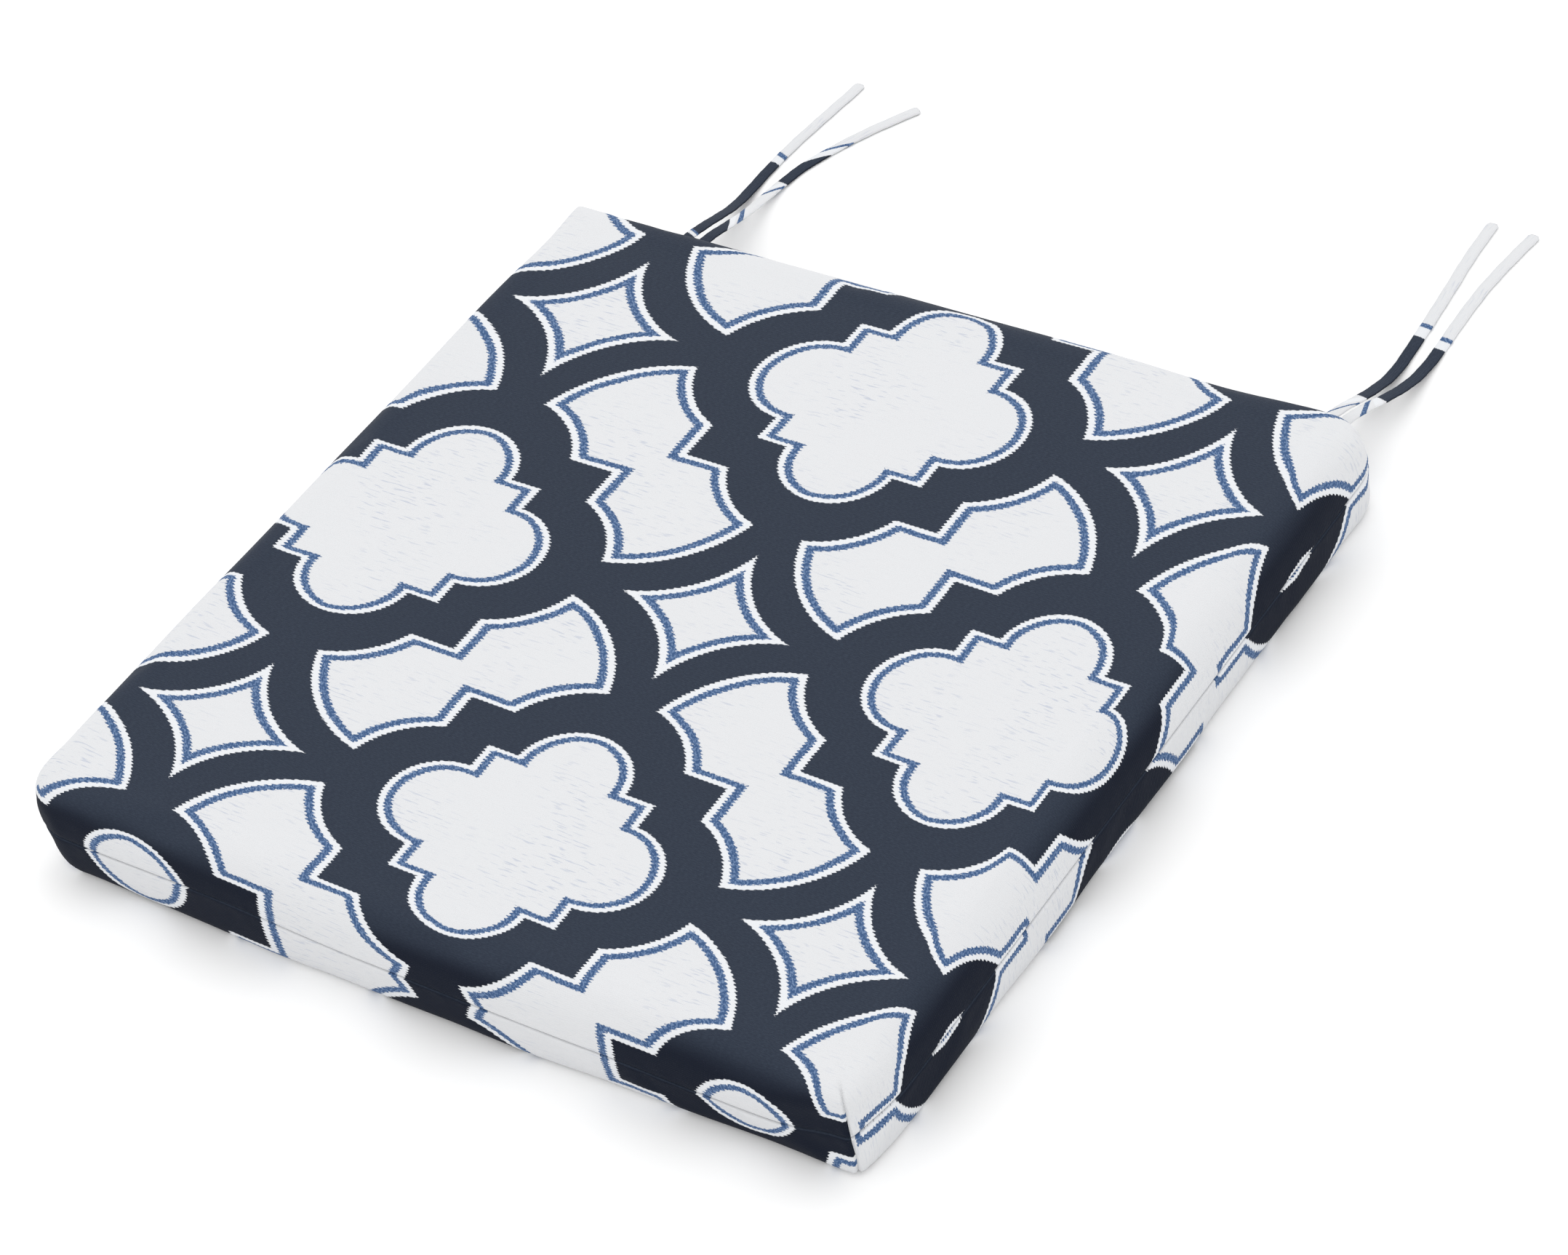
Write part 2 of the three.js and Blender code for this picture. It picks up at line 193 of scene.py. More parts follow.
# Each strap's course, from inside the seam to its free end. A point with no height lies at TIE_REST.
TIE_ROUTES = {
    "tie_left_outer": [
        (-0.177, 0.2325, 0.0255), (-0.177, 0.238, 0.0255), (-0.177, 0.246, 0.0251),
        (-0.177, 0.256, 0.0238), (-0.1775, 0.268, 0.0204), (-0.1795, 0.282, 0.0148),
        (-0.1825, 0.296, 0.0086), (-0.1855, 0.31, 0.0039), (-0.1875, 0.324, 0.0015), (-0.188, 0.34),
        (-0.1875, 0.356), (-0.1865, 0.37), (-0.185, 0.384), (-0.1835, 0.398), (-0.182, 0.41),
        (-0.181, 0.421),
    ],
    "tie_left_inner": [
        (-0.167, 0.2325, 0.0255), (-0.167, 0.238, 0.0255), (-0.167, 0.246, 0.0252),
        (-0.1668, 0.256, 0.0241), (-0.1668, 0.268, 0.021), (-0.168, 0.282, 0.0162),
        (-0.1706, 0.296, 0.0106), (-0.1734, 0.311, 0.0055), (-0.1746, 0.325, 0.0022), (-0.1736, 0.338),
        (-0.1708, 0.35), (-0.1662, 0.362), (-0.161, 0.374), (-0.1545, 0.387), (-0.147, 0.4),
        (-0.139, 0.413),
    ],
    "tie_right_inner": [
        (0.1965, 0.2325, 0.0255), (0.1965, 0.238, 0.0255), (0.1968, 0.246, 0.025),
        (0.1978, 0.256, 0.023), (0.1986, 0.268, 0.019), (0.1988, 0.281, 0.0134),
        (0.1986, 0.295, 0.0078), (0.1982, 0.309, 0.0034), (0.1974, 0.323, 0.0014), (0.1964, 0.338),
        (0.1954, 0.354), (0.1942, 0.37), (0.193, 0.386), (0.1916, 0.402), (0.1908, 0.418),
        (0.1905, 0.436),
    ],
    "tie_right_outer": [
        (0.2045, 0.2325, 0.0255), (0.2045, 0.238, 0.0255), (0.2054, 0.246, 0.0251),
        (0.2068, 0.256, 0.0236), (0.2084, 0.268, 0.0202), (0.2098, 0.281, 0.0152),
        (0.2106, 0.295, 0.0098), (0.2108, 0.309, 0.0052), (0.2104, 0.323, 0.0022), (0.2098, 0.338),
        (0.2092, 0.354), (0.2088, 0.37), (0.209, 0.388), (0.2102, 0.404), (0.212, 0.42), (0.214, 0.435),
    ],
}


def smooth_route(route, steps):
    """Points evenly spaced on the centripetal Catmull-Rom curve through the route."""
    points = [Vector((*p, TIE_REST)[:3]) for p in route]
    points = [points[0] * 2 - points[1]] + points + [points[-1] * 2 - points[-2]]
    dense = []
    for i in range(1, len(points) - 2):
        p0, p1, p2, p3 = points[i - 1:i + 3]
        t1 = (p1 - p0).length ** 0.5
        t2 = t1 + (p2 - p1).length ** 0.5
        t3 = t2 + (p3 - p2).length ** 0.5
        for step in range(24):
            t = t1 + (t2 - t1) * step / 24
            a1 = p0 * ((t1 - t) / t1) + p1 * (t / t1)
            a2 = p1 * ((t2 - t) / (t2 - t1)) + p2 * ((t - t1) / (t2 - t1))
            a3 = p2 * ((t3 - t) / (t3 - t2)) + p3 * ((t - t2) / (t3 - t2))
            b1 = a1 * ((t2 - t) / t2) + a2 * (t / t2)
            b2 = a2 * ((t3 - t) / (t3 - t1)) + a3 * ((t - t1) / (t3 - t1))
            dense.append(b1 * ((t2 - t) / (t2 - t1)) + b2 * ((t - t1) / (t2 - t1)))
    dense = np.array([*dense, points[-2]])
    lengths = np.concatenate([[0], np.cumsum(np.linalg.norm(np.diff(dense, axis=0), axis=1))])
    even = np.linspace(0, lengths[-1], steps + 1)
    return np.stack([np.interp(even, lengths, dense[:, k]) for k in range(3)], 1), lengths[-1]


def tie_section(columns=12):
    """Across and up from the strip's middle: rounded folded edges, a stitch groove near each."""
    half_width = TIE_WIDTH / 2
    half_thickness = TIE_THICKNESS / 2
    section = []
    for side in (1, -1):
        for i in range(columns + 1):
            across = side * half_width * math.cos(math.pi * i / columns)
            edge = 1 - abs(across) / half_width
            up = half_thickness * min(1, (edge * 5.5) ** 0.5)
            from_groove = (abs(across) - half_width * TIE_GROOVE["place"]) / TIE_GROOVE["width"]
            groove = TIE_GROOVE["depth"] * math.exp(-from_groove ** 2)
            if 0 < i < columns:
                section.append((across, side * max(up - groove, 0.0002)))
            elif side > 0:
                section.append((across, 0.0))
    return section


def make_tie(name, seed, material):
    steps = 150
    path, length = smooth_route(TIE_ROUTES[name], steps)
    section = tie_section()
    count = len(section)
    random = np.random.default_rng(seed)
    phase = random.uniform(0, math.tau, 2)
    tangents = np.gradient(path, axis=0)
    tangents /= np.linalg.norm(tangents, axis=1)[:, None]
    points = []
    for i in range(steps + 1):
        along = i / steps * length
        across = np.cross(tangents[i], (0, 0, 1))
        across /= np.linalg.norm(across)
        over = np.cross(across, tangents[i])
        wave = TIE_WAVE["height"] * math.sin(math.tau * along / TIE_WAVE["length"] + phase[0])
        edge_wave = TIE_EDGE_WAVE["height"] * math.sin(math.tau * along / TIE_EDGE_WAVE["length"] + phase[1])
        rounding = 1 - min(1, (length - along) / TIE_END)
        end = math.sqrt(1 - rounding ** 2) * 0.35 + 0.65
        for a, b in section:
            shift = path[i] + across * (a * end + edge_wave * 0.5) + over * b * (0.55 + 0.45 * end)
            points.append(shift + over * wave * (abs(a) / TIE_WIDTH))
    faces = []
    for i in range(steps):
        for k in range(count):
            n = (k + 1) % count
            faces.append((i * count + k, i * count + n, (i + 1) * count + n, (i + 1) * count + k))
    faces.append(tuple(range(count - 1, -1, -1)))
    faces.append(tuple(steps * count + k for k in range(count)))
    uv = [(section[q % count][0] / TIE_WIDTH + 0.5, path[q // count][1]) for face in faces for q in face]
    made = make_object(name.replace("tie", "strap"), points, faces, uv)
    dress(made, material, name)


# ---- Node helpers: arithmetic on shader sockets ----


class Field:
    """A number over the surface, made by nodes, that ordinary arithmetic works on."""

    def __init__(self, tree, socket):
        self.tree = tree
        self.socket = socket

    def node(self, operation, *values):
        made = self.tree.nodes.new("ShaderNodeMath")
        made.operation = operation
        for i, value in enumerate((self, *values)):
            feed(self.tree, value, made.inputs[i])
        return Field(self.tree, made.outputs[0])

    __add__ = partialmethod(node, "ADD")
    __sub__ = partialmethod(node, "SUBTRACT")
    __mul__ = partialmethod(node, "MULTIPLY")
    abs = partialmethod(node, "ABSOLUTE")
    least = partialmethod(node, "MINIMUM")
    most = partialmethod(node, "MAXIMUM")
    above = partialmethod(node, "GREATER_THAN")
    sine = partialmethod(node, "SINE")

    def __neg__(self):
        return self * -1

    def mirror(self, scale=1.0):
        """Folds the number back and forth between 0 and scale."""
        return self.node("PINGPONG", scale)

    def step(self, low, high):
        """0 below low and 1 above high, smooth between them."""
        made = self.tree.nodes.new("ShaderNodeMapRange")
        made.interpolation_type = "SMOOTHSTEP"
        made.inputs["From Min"].default_value = low
        made.inputs["From Max"].default_value = high
        self.tree.links.new(self.socket, made.inputs["Value"])
        return Field(self.tree, made.outputs[0])

    def mix(self, low, high):
        """low where this is 0 and high where it is 1."""
        made = self.tree.nodes.new("ShaderNodeMix")
        for i, value in ((0, self), (2, low), (3, high)):
            feed(self.tree, value, made.inputs[i])
        return Field(self.tree, made.outputs[0])


def feed(tree, value, socket):
    """Links a field or a socket to an input, or sets a plain value on it."""
    if isinstance(value, Field):
        value = value.socket
    if isinstance(value, bpy.types.NodeSocket):
        tree.links.new(value, socket)
    else:
        socket.default_value = value


def length_of(x, y):
    return (x * x + y * y).node("SQRT")


def linear(red, green, blue):
    """A colour given as 0 to 255 sRGB, as Blender wants it."""
    values = [c / 255 for c in (red, green, blue)]
    return tuple(c / 12.92 if c <= 0.04045 else ((c + 0.055) / 1.055) ** 2.4 for c in values) + (1.0,)


def mix_colours(tree, factor, low, high):
    made = tree.nodes.new("ShaderNodeMix")
    made.data_type = "RGBA"
    for i, value in ((0, factor), (6, low), (7, high)):
        feed(tree, value, made.inputs[i])
    return made.outputs[2]


def new_material(name, roughness, specular=0.5, sheen=0.0, colour=None):
    material = bpy.data.materials.new(name)
    material.use_nodes = True
    shader = material.node_tree.nodes["Principled BSDF"]
    shader.inputs["Roughness"].default_value = roughness
    shader.inputs["Specular IOR Level"].default_value = specular
    shader.inputs["Sheen Weight"].default_value = sheen
    if colour is not None:
        shader.inputs["Base Color"].default_value = colour
    return material, material.node_tree, shader


def noise(tree, x, y, z=0.0, scale=1.0, detail=2.0):
    """A noise texture read at a point given by fields, from 0 to 1."""
    combine = tree.nodes.new("ShaderNodeCombineXYZ")
    for i, value in enumerate((x, y, z)):
        feed(tree, value, combine.inputs[i])
    texture = tree.nodes.new("ShaderNodeTexNoise")
    texture.inputs["Scale"].default_value = scale
    texture.inputs["Detail"].default_value = detail
    tree.links.new(combine.outputs[0], texture.inputs["Vector"])
    return Field(tree, texture.outputs["Fac"])


def set_surface(tree, shader, colour, height, distance, strength):
    """Gives a shader its colour, and a bump whose height of 1 stands for distance."""
    tree.links.new(colour, shader.inputs["Base Color"])
    bump = tree.nodes.new("ShaderNodeBump")
    bump.inputs["Strength"].default_value = strength
    bump.inputs["Distance"].default_value = distance
    tree.links.new(height.socket, bump.inputs["Height"])
    tree.links.new(bump.outputs[0], shader.inputs["Normal"])


def split(tree, vector):
    """The three numbers of a vector socket, as fields."""
    made = tree.nodes.new("ShaderNodeSeparateXYZ")
    tree.links.new(vector, made.inputs[0])
    return [Field(tree, socket) for socket in made.outputs]


def uv_fields(tree):
    source = tree.nodes.new("ShaderNodeUVMap")
    source.uv_map = "fabric"
    return split(tree, source.outputs[0])[:2]


def object_fields(tree):
    return split(tree, tree.nodes.new("ShaderNodeTexCoord").outputs["Object"])


def facing_up(tree):
    """The surface's own normal, upwards: 1 on the pad's top, 0 on its walls."""
    return split(tree, tree.nodes.new("ShaderNodeNewGeometry").outputs["Normal"])[2]


# ---- The trellis print ----

NAVY = linear(47, 55, 68)
NAVY_DARK = linear(40, 47, 60)
NAVY_PAINTED_SHADE = linear(13, 20, 34)  # painted shade: the walls' navy, darker than the top's, as this light leaves the walls paler than the photo's
THREAD_BLUE = linear(56, 82, 120)
THREAD_BLUE_PALE = linear(112, 134, 166)
OFF_WHITE = linear(206, 207, 209)
BORDER_WHITE = linear(212, 214, 217)
SLUB_GREY = linear(150, 160, 182)

# Lengths in the print are in half repeats: one is 171 mm across the pad and 157 mm along it.
ASPECT = 0.9946  # a half repeat along the pad over one across it, as the shapes are drawn
HALF_REPEAT = (0.171, 0.157)
PETAL = {"body": 0.2751, "radius": 0.1776, "offset": 0.2697}
PETAL_OUTER = {"body": 0.4232, "radius": 0.3021, "offset": 0.3127}
WAIST_RADIUS = 0.4318
STAR = {"centre": 0.3824, "radius": 0.3947, "limit": 0.36}
BORDER = 0.0155
THREAD_LINE = 0.0190
NARROWING = 0.013  # how much further in across the pad than along it the inner line lies
PETAL_FINER = 0.35  # share of the narrowing that thins the quatrefoils' line
WEAVE_ROW = 0.0125  # spacing of the weave rows that make the shapes' edges ragged
TOOTH = 0.0165  # how far a row carries an edge along X
EDGE_BLUR = 0.0018  # half the width of the change from one yarn to the next


def quatrefoil(x, y, form, narrow=0.0):
    ax = x.abs() + narrow
    ay = y.abs()
    body = ax.most(ay) - form["body"]
    lobe_x = length_of(ax - form["offset"], ay) - form["radius"]
    lobe_y = length_of(ax, ay - form["offset"]) - form["radius"]
    return body.least(lobe_x).least(lobe_y)


def print_distance(u, v, narrow=0.0):
    """Negative inside the print's white shapes: quatrefoils, waisted leaves and stars. The shapes'
    sides are moved in by narrow along X."""
    x = u.mirror()
    y = v.mirror() * ASPECT
    near_petal = (x * ASPECT).above(y)
    px = near_petal.mix(x * -1 + 1, x)
    py = near_petal.mix(y * -1 + ASPECT, y)
    petals = quatrefoil(px - 1.0, py, PETAL, narrow) - narrow * PETAL_FINER
    ring = quatrefoil(px - 1.0, py, PETAL_OUTER, -narrow)
    waist = length_of((px - 0.5).abs() + narrow, py - 0.5 * ASPECT) - WAIST_RADIUS
    leaves = (-ring).most(waist)
    near_far_star = (x * ASPECT + y).above(ASPECT)
    sx = near_far_star.mix(x, x * -1 + 1) + narrow
    sy = near_far_star.mix(y, y * -1 + ASPECT)
    bite = length_of(sx - STAR["centre"], sy - STAR["centre"] * ASPECT) * -1 + STAR["radius"]
    star = bite.most(sx - STAR["limit"]).most(sy - STAR["limit"])
    return petals.least(leaves).least(star)


def woven(u, v, tree):
    """Ragged fabric coordinates: rows of the weave carry each edge a little way along X."""
    row = (v * (1 / WEAVE_ROW)).mirror(0.5)
    pick = (u * (1 / (WEAVE_ROW * 1.3))).mirror(0.5)
    stray = noise(tree, u * 60, v * 230, detail=1.0)
    ragged_u = u + row * TOOTH + stray * 0.010 - 0.009
    ragged_v = v + pick * 0.005 + stray * 0.003 - 0.003
    return ragged_u, ragged_v


def cloth_surface(tree, u_mm, v_mm):
    """Weave height: fine ribs along X crossed by the warp, with slubs."""
    ribs = (v_mm * (math.tau / 1.15)).sine()
    warp = (u_mm * (math.tau / 0.95)).sine()
    slubs = noise(tree, u_mm * 0.16, v_mm * 1.5, detail=2.0)
    return ribs * 0.35 + warp * 0.2 + slubs * 0.9


def fabric_colours(tree, u_mm, v_mm):
    """Colours of the three yarns, each with its own mottle, and painted shade that darkens the navy where the
    surface faces sideways.
    """
    slub = noise(tree, u_mm * 0.11, v_mm * 0.9, detail=1.0).step(0.58, 0.70)
    veil = noise(tree, u_mm * 0.02, v_mm * 0.02, 3.0, detail=1.0).step(0.35, 0.7)
    pale = mix_colours(tree, slub * veil * 0.45, OFF_WHITE, SLUB_GREY)
    fleck = noise(tree, u_mm * 0.5, v_mm * 1.6, 5.0, detail=3.0).step(0.35, 0.7)
    navy = mix_colours(tree, fleck, NAVY_DARK, NAVY)
    # painted shade: the navy turns darker wherever the surface faces sideways, as on the pad's walls and the
    # straps' edges
    navy = mix_colours(tree, facing_up(tree).step(0.3, 0.95), NAVY_PAINTED_SHADE, navy)
    twill = noise(tree, (u_mm + v_mm) * 0.75, (u_mm - v_mm) * 0.4, 9.0, detail=3.0).step(0.46, 0.60)
    blue = mix_colours(tree, twill * 0.75, THREAD_BLUE, THREAD_BLUE_PALE)
    return pale, navy, blue


def cover_material():
    material, tree, shader = new_material("printed_cover", roughness=0.7, specular=0.1)
    u, v = uv_fields(tree)
    ragged_u, ragged_v = woven(u, v, tree)
    distance = print_distance(ragged_u, ragged_v)
    inner = print_distance(ragged_u, ragged_v, NARROWING)
    u_mm = u * (HALF_REPEAT[0] * 1000)
    v_mm = v * (HALF_REPEAT[1] * 1000)
    pale, navy, blue = fabric_colours(tree, u_mm, v_mm)
    wobble = noise(tree, u_mm * 0.05, v_mm * 0.05, 2.0, detail=1.0)
    broken = noise(tree, u_mm * 0.9, v_mm * 1.1, 4.0, detail=2.0)
    unevenness = (wobble - 0.5) * 0.010 + (broken - 0.5) * 0.012
    middle = (distance + inner) * 0.5 + unevenness
    border = mix_colours(tree, middle.step(-BORDER - EDGE_BLUR, -BORDER + EDGE_BLUR), blue, BORDER_WHITE)
    pale_edge = -BORDER - THREAD_LINE
    inside = (inner + unevenness).step(pale_edge - EDGE_BLUR, pale_edge + EDGE_BLUR)
    white = mix_colours(tree, inside, pale, border)
    colour = mix_colours(tree, distance.step(-EDGE_BLUR, EDGE_BLUR), white, navy)
    set_surface(tree, shader, colour, cloth_surface(tree, u_mm, v_mm), 0.00012, 0.7)
    return material


def tie_material(name, bands):
    """Off-white strip with woven bands of the print: (from, to, slant, colour), in metres along Y."""
    material, tree, shader = new_material(name, roughness=0.7, specular=0.1)
    across, along = uv_fields(tree)
    u_mm = across * (TIE_WIDTH * 1000)
    v_mm = along * 1000
    pale, navy, blue = fabric_colours(tree, v_mm, u_mm)
    colours = {"navy": navy, "blue": blue, "white": BORDER_WHITE}
    colour = pale
    ragged = along + (noise(tree, u_mm * 2.2, v_mm * 1.2, detail=1.0) - 0.5) * 0.0016
    for start, end, slant, kind in bands:
        place = ragged + (across - 0.5) * slant
        inside = place.step(start - 0.0003, start + 0.0003) * (-place).step(-end - 0.0003, -end + 0.0003)
        colour = mix_colours(tree, inside, colour, colours[kind])
    set_surface(tree, shader, colour, cloth_surface(tree, v_mm, u_mm), 0.0001, 0.7)
    return material


TIE_BANDS = {
    "tie_left_outer": [
        (0.23, 0.345, 0.0, "navy"), (0.2535, 0.256, 0.003, "white"), (0.256, 0.2575, 0.003, "blue"),
        (0.345, 0.35, 0.002, "white"), (0.35, 0.353, 0.002, "blue"),
    ],
    "tie_left_inner": [
        (0.23, 0.274, 0.012, "navy"), (0.274, 0.28, 0.014, "white"), (0.284, 0.29, 0.016, "blue"),
        (0.32, 0.3235, -0.012, "blue"), (0.325, 0.33, -0.01, "white"), (0.331, 0.363, 0.0, "navy"),
        (0.356, 0.366, -0.014, "white"), (0.366, 0.37, -0.014, "blue"),
    ],
    "tie_right_inner": [
        (0.26, 0.263, -0.018, "blue"), (0.268, 0.277, -0.016, "white"), (0.279, 0.343, 0.001, "navy"),
        (0.343, 0.35, 0.001, "white"), (0.35, 0.353, 0.001, "blue"),
    ],
    "tie_right_outer": [
        (0.264, 0.269, 0.013, "blue"), (0.273, 0.279, 0.006, "white"), (0.279, 0.338, 0.001, "navy"),
        (0.338, 0.344, 0.001, "white"), (0.344, 0.347, 0.001, "blue"),
    ],
}


# ---- The pad's form: a face with four walls that end at the seam ----

FRONT_BOW = 0.0045  # how far the front edge's middle stands before its corners
CORNER_RADII = {"front_left": 0.022, "front_right": 0.003, "back_right": 0.025, "back_left": 0.003}
CORNER_SHARPNESS = {"front_left": 0.1, "front_right": 1.0, "back_right": 0.0, "back_left": 0.6}
SHARP = 7.0  # squareness of the edge at a sharp corner
SHARP_REACH = 0.030  # how far along the edge from the corner that goes
UPPER = {"side": 1, "face": FACE_Z, "reach": 0.020, "squareness": 2.6, "crown": CROWN}
LOWER = {"side": -1, "face": 0.0, "reach": 0.008, "squareness": 3.4, "crown": 0.0}
PRINT_SHIFT = (-0.084, 0.077)  # of the middle star from the pad's middle, in half repeats
PRINT_SPAN = (1.385, 1.511)  # half repeats from the middle to the side and to the back
PRINT_STRETCH = (0.080, -0.095)  # how the repeat widens across and narrows along the pad
PRINT_SKEW = (0.0156, -0.0188)

# Each side: the corners that it runs between, its direction and the way out.
SIDES = [
    (("front_left", "front_right"), np.array((1, 0)), np.array((0, -1))),
    (("front_right", "back_right"), np.array((0, 1)), np.array((1, 0))),
    (("back_right", "back_left"), np.array((-1, 0)), np.array((0, 1))),
    (("back_left", "front_left"), np.array((0, -1)), np.array((-1, 0))),
]
# How much fabric each side's wall takes up for its height: above the seam at the face and at the
# seam, then below the seam, and how far the lower panel is sewn on out of step.
TAKE_UP = [(1.125, 1.085, 0.92, 0.0), (1.56, 1.062, 1.0, 0.003), (1.0, 1.0, 1.0, 0.0), (1.0, 1.0, 1.0, 0.0)]


def side_halves(s):
    """Half the length of side s, and how far it stands from the middle."""
    return (HALF_Y, HALF_X) if s % 2 else (HALF_X, HALF_Y)


def edge_spacing(cells):
    """Grid places from -1 to 1, four times closer at the ends, where the corners are."""
    t = np.linspace(-1, 1, cells + 1)
    away = 1 - np.abs(t)
    crowding = 0.05
    closer = away - 0.75 * crowding * (1 - np.exp(-away / crowding))
    return np.sign(t) * (1 - closer / closer.max())


def even_profile(half, squareness, rings):
    """The edge from the face to the seam: share of the reach, share of the height, and length."""
    theta = np.linspace(math.pi / 2, 0, 400)
    power = 2 / squareness
    across = 1 - np.clip(np.cos(theta), 0, 1) ** power
    up = np.clip(np.sin(theta), 0, 1) ** power
    rise = abs(half["face"] - SEAM_Z)
    steps = np.hypot(np.diff(across) * half["reach"], np.diff(up) * rise)
    lengths = np.concatenate([[0], np.cumsum(steps)])
    wanted = np.linspace(0, lengths[-1], rings + 1)
    return np.interp(wanted, lengths, across), np.interp(wanted, lengths, up), wanted


def print_place(x, y):
    """Half repeats of the print at a point of the flat fabric, whose middle is the pad's."""
    limit_x = HALF_X - UPPER["reach"]
    limit_y = HALF_Y - UPPER["reach"]
    cx = np.clip(x, -limit_x, limit_x)
    cy = np.clip(y, -limit_y, limit_y)
    u = cx / HALF_X
    v = cy / HALF_Y
    across = PRINT_SHIFT[0] + PRINT_SPAN[0] * u + PRINT_STRETCH[0] * u ** 2
    along = PRINT_SHIFT[1] + PRINT_SPAN[1] * v + PRINT_STRETCH[1] * v ** 2
    along = along + PRINT_SKEW[0] * u + PRINT_SKEW[1] * u * v
    across = across + (x - cx) * (PRINT_SPAN[0] + 2 * PRINT_STRETCH[0] * u) / HALF_X
    along = along + (y - cy) * (PRINT_SPAN[1] + 2 * PRINT_STRETCH[1] * v) / HALF_Y
    return np.stack([across, along], -1)


def side_ring(s, t, inset, sharp_inset):
    """Plan points along side s for shares t of it, and how far along the fabric each lies."""
    corners, direction, outward = SIDES[s]
    half_along, half_across = side_halves(s)
    at_end = t >= 0
    radius_0 = np.where(at_end, CORNER_RADII[corners[1]], CORNER_RADII[corners[0]])
    sharp = np.where(at_end, CORNER_SHARPNESS[corners[1]], CORNER_SHARPNESS[corners[0]])
    near = sharp * np.exp(-(((1 - np.abs(t)) * half_along) / SHARP_REACH) ** 2)
    inset = inset + (sharp_inset - inset) * near
    radius = np.clip(radius_0 - inset * 0.95, 1e-6, None)
    straight = half_along - inset - radius
    distance = np.abs(t) * (straight + radius * math.pi / 4)
    angle = np.clip((distance - straight) / radius, 0, math.pi / 4)
    along = np.sign(t) * (np.minimum(distance, straight) + radius * np.sin(angle))
    out = half_across - inset - radius * (1 - np.cos(angle))
    return np.outer(along, direction) + np.outer(out, outward), np.sign(t) * distance, near


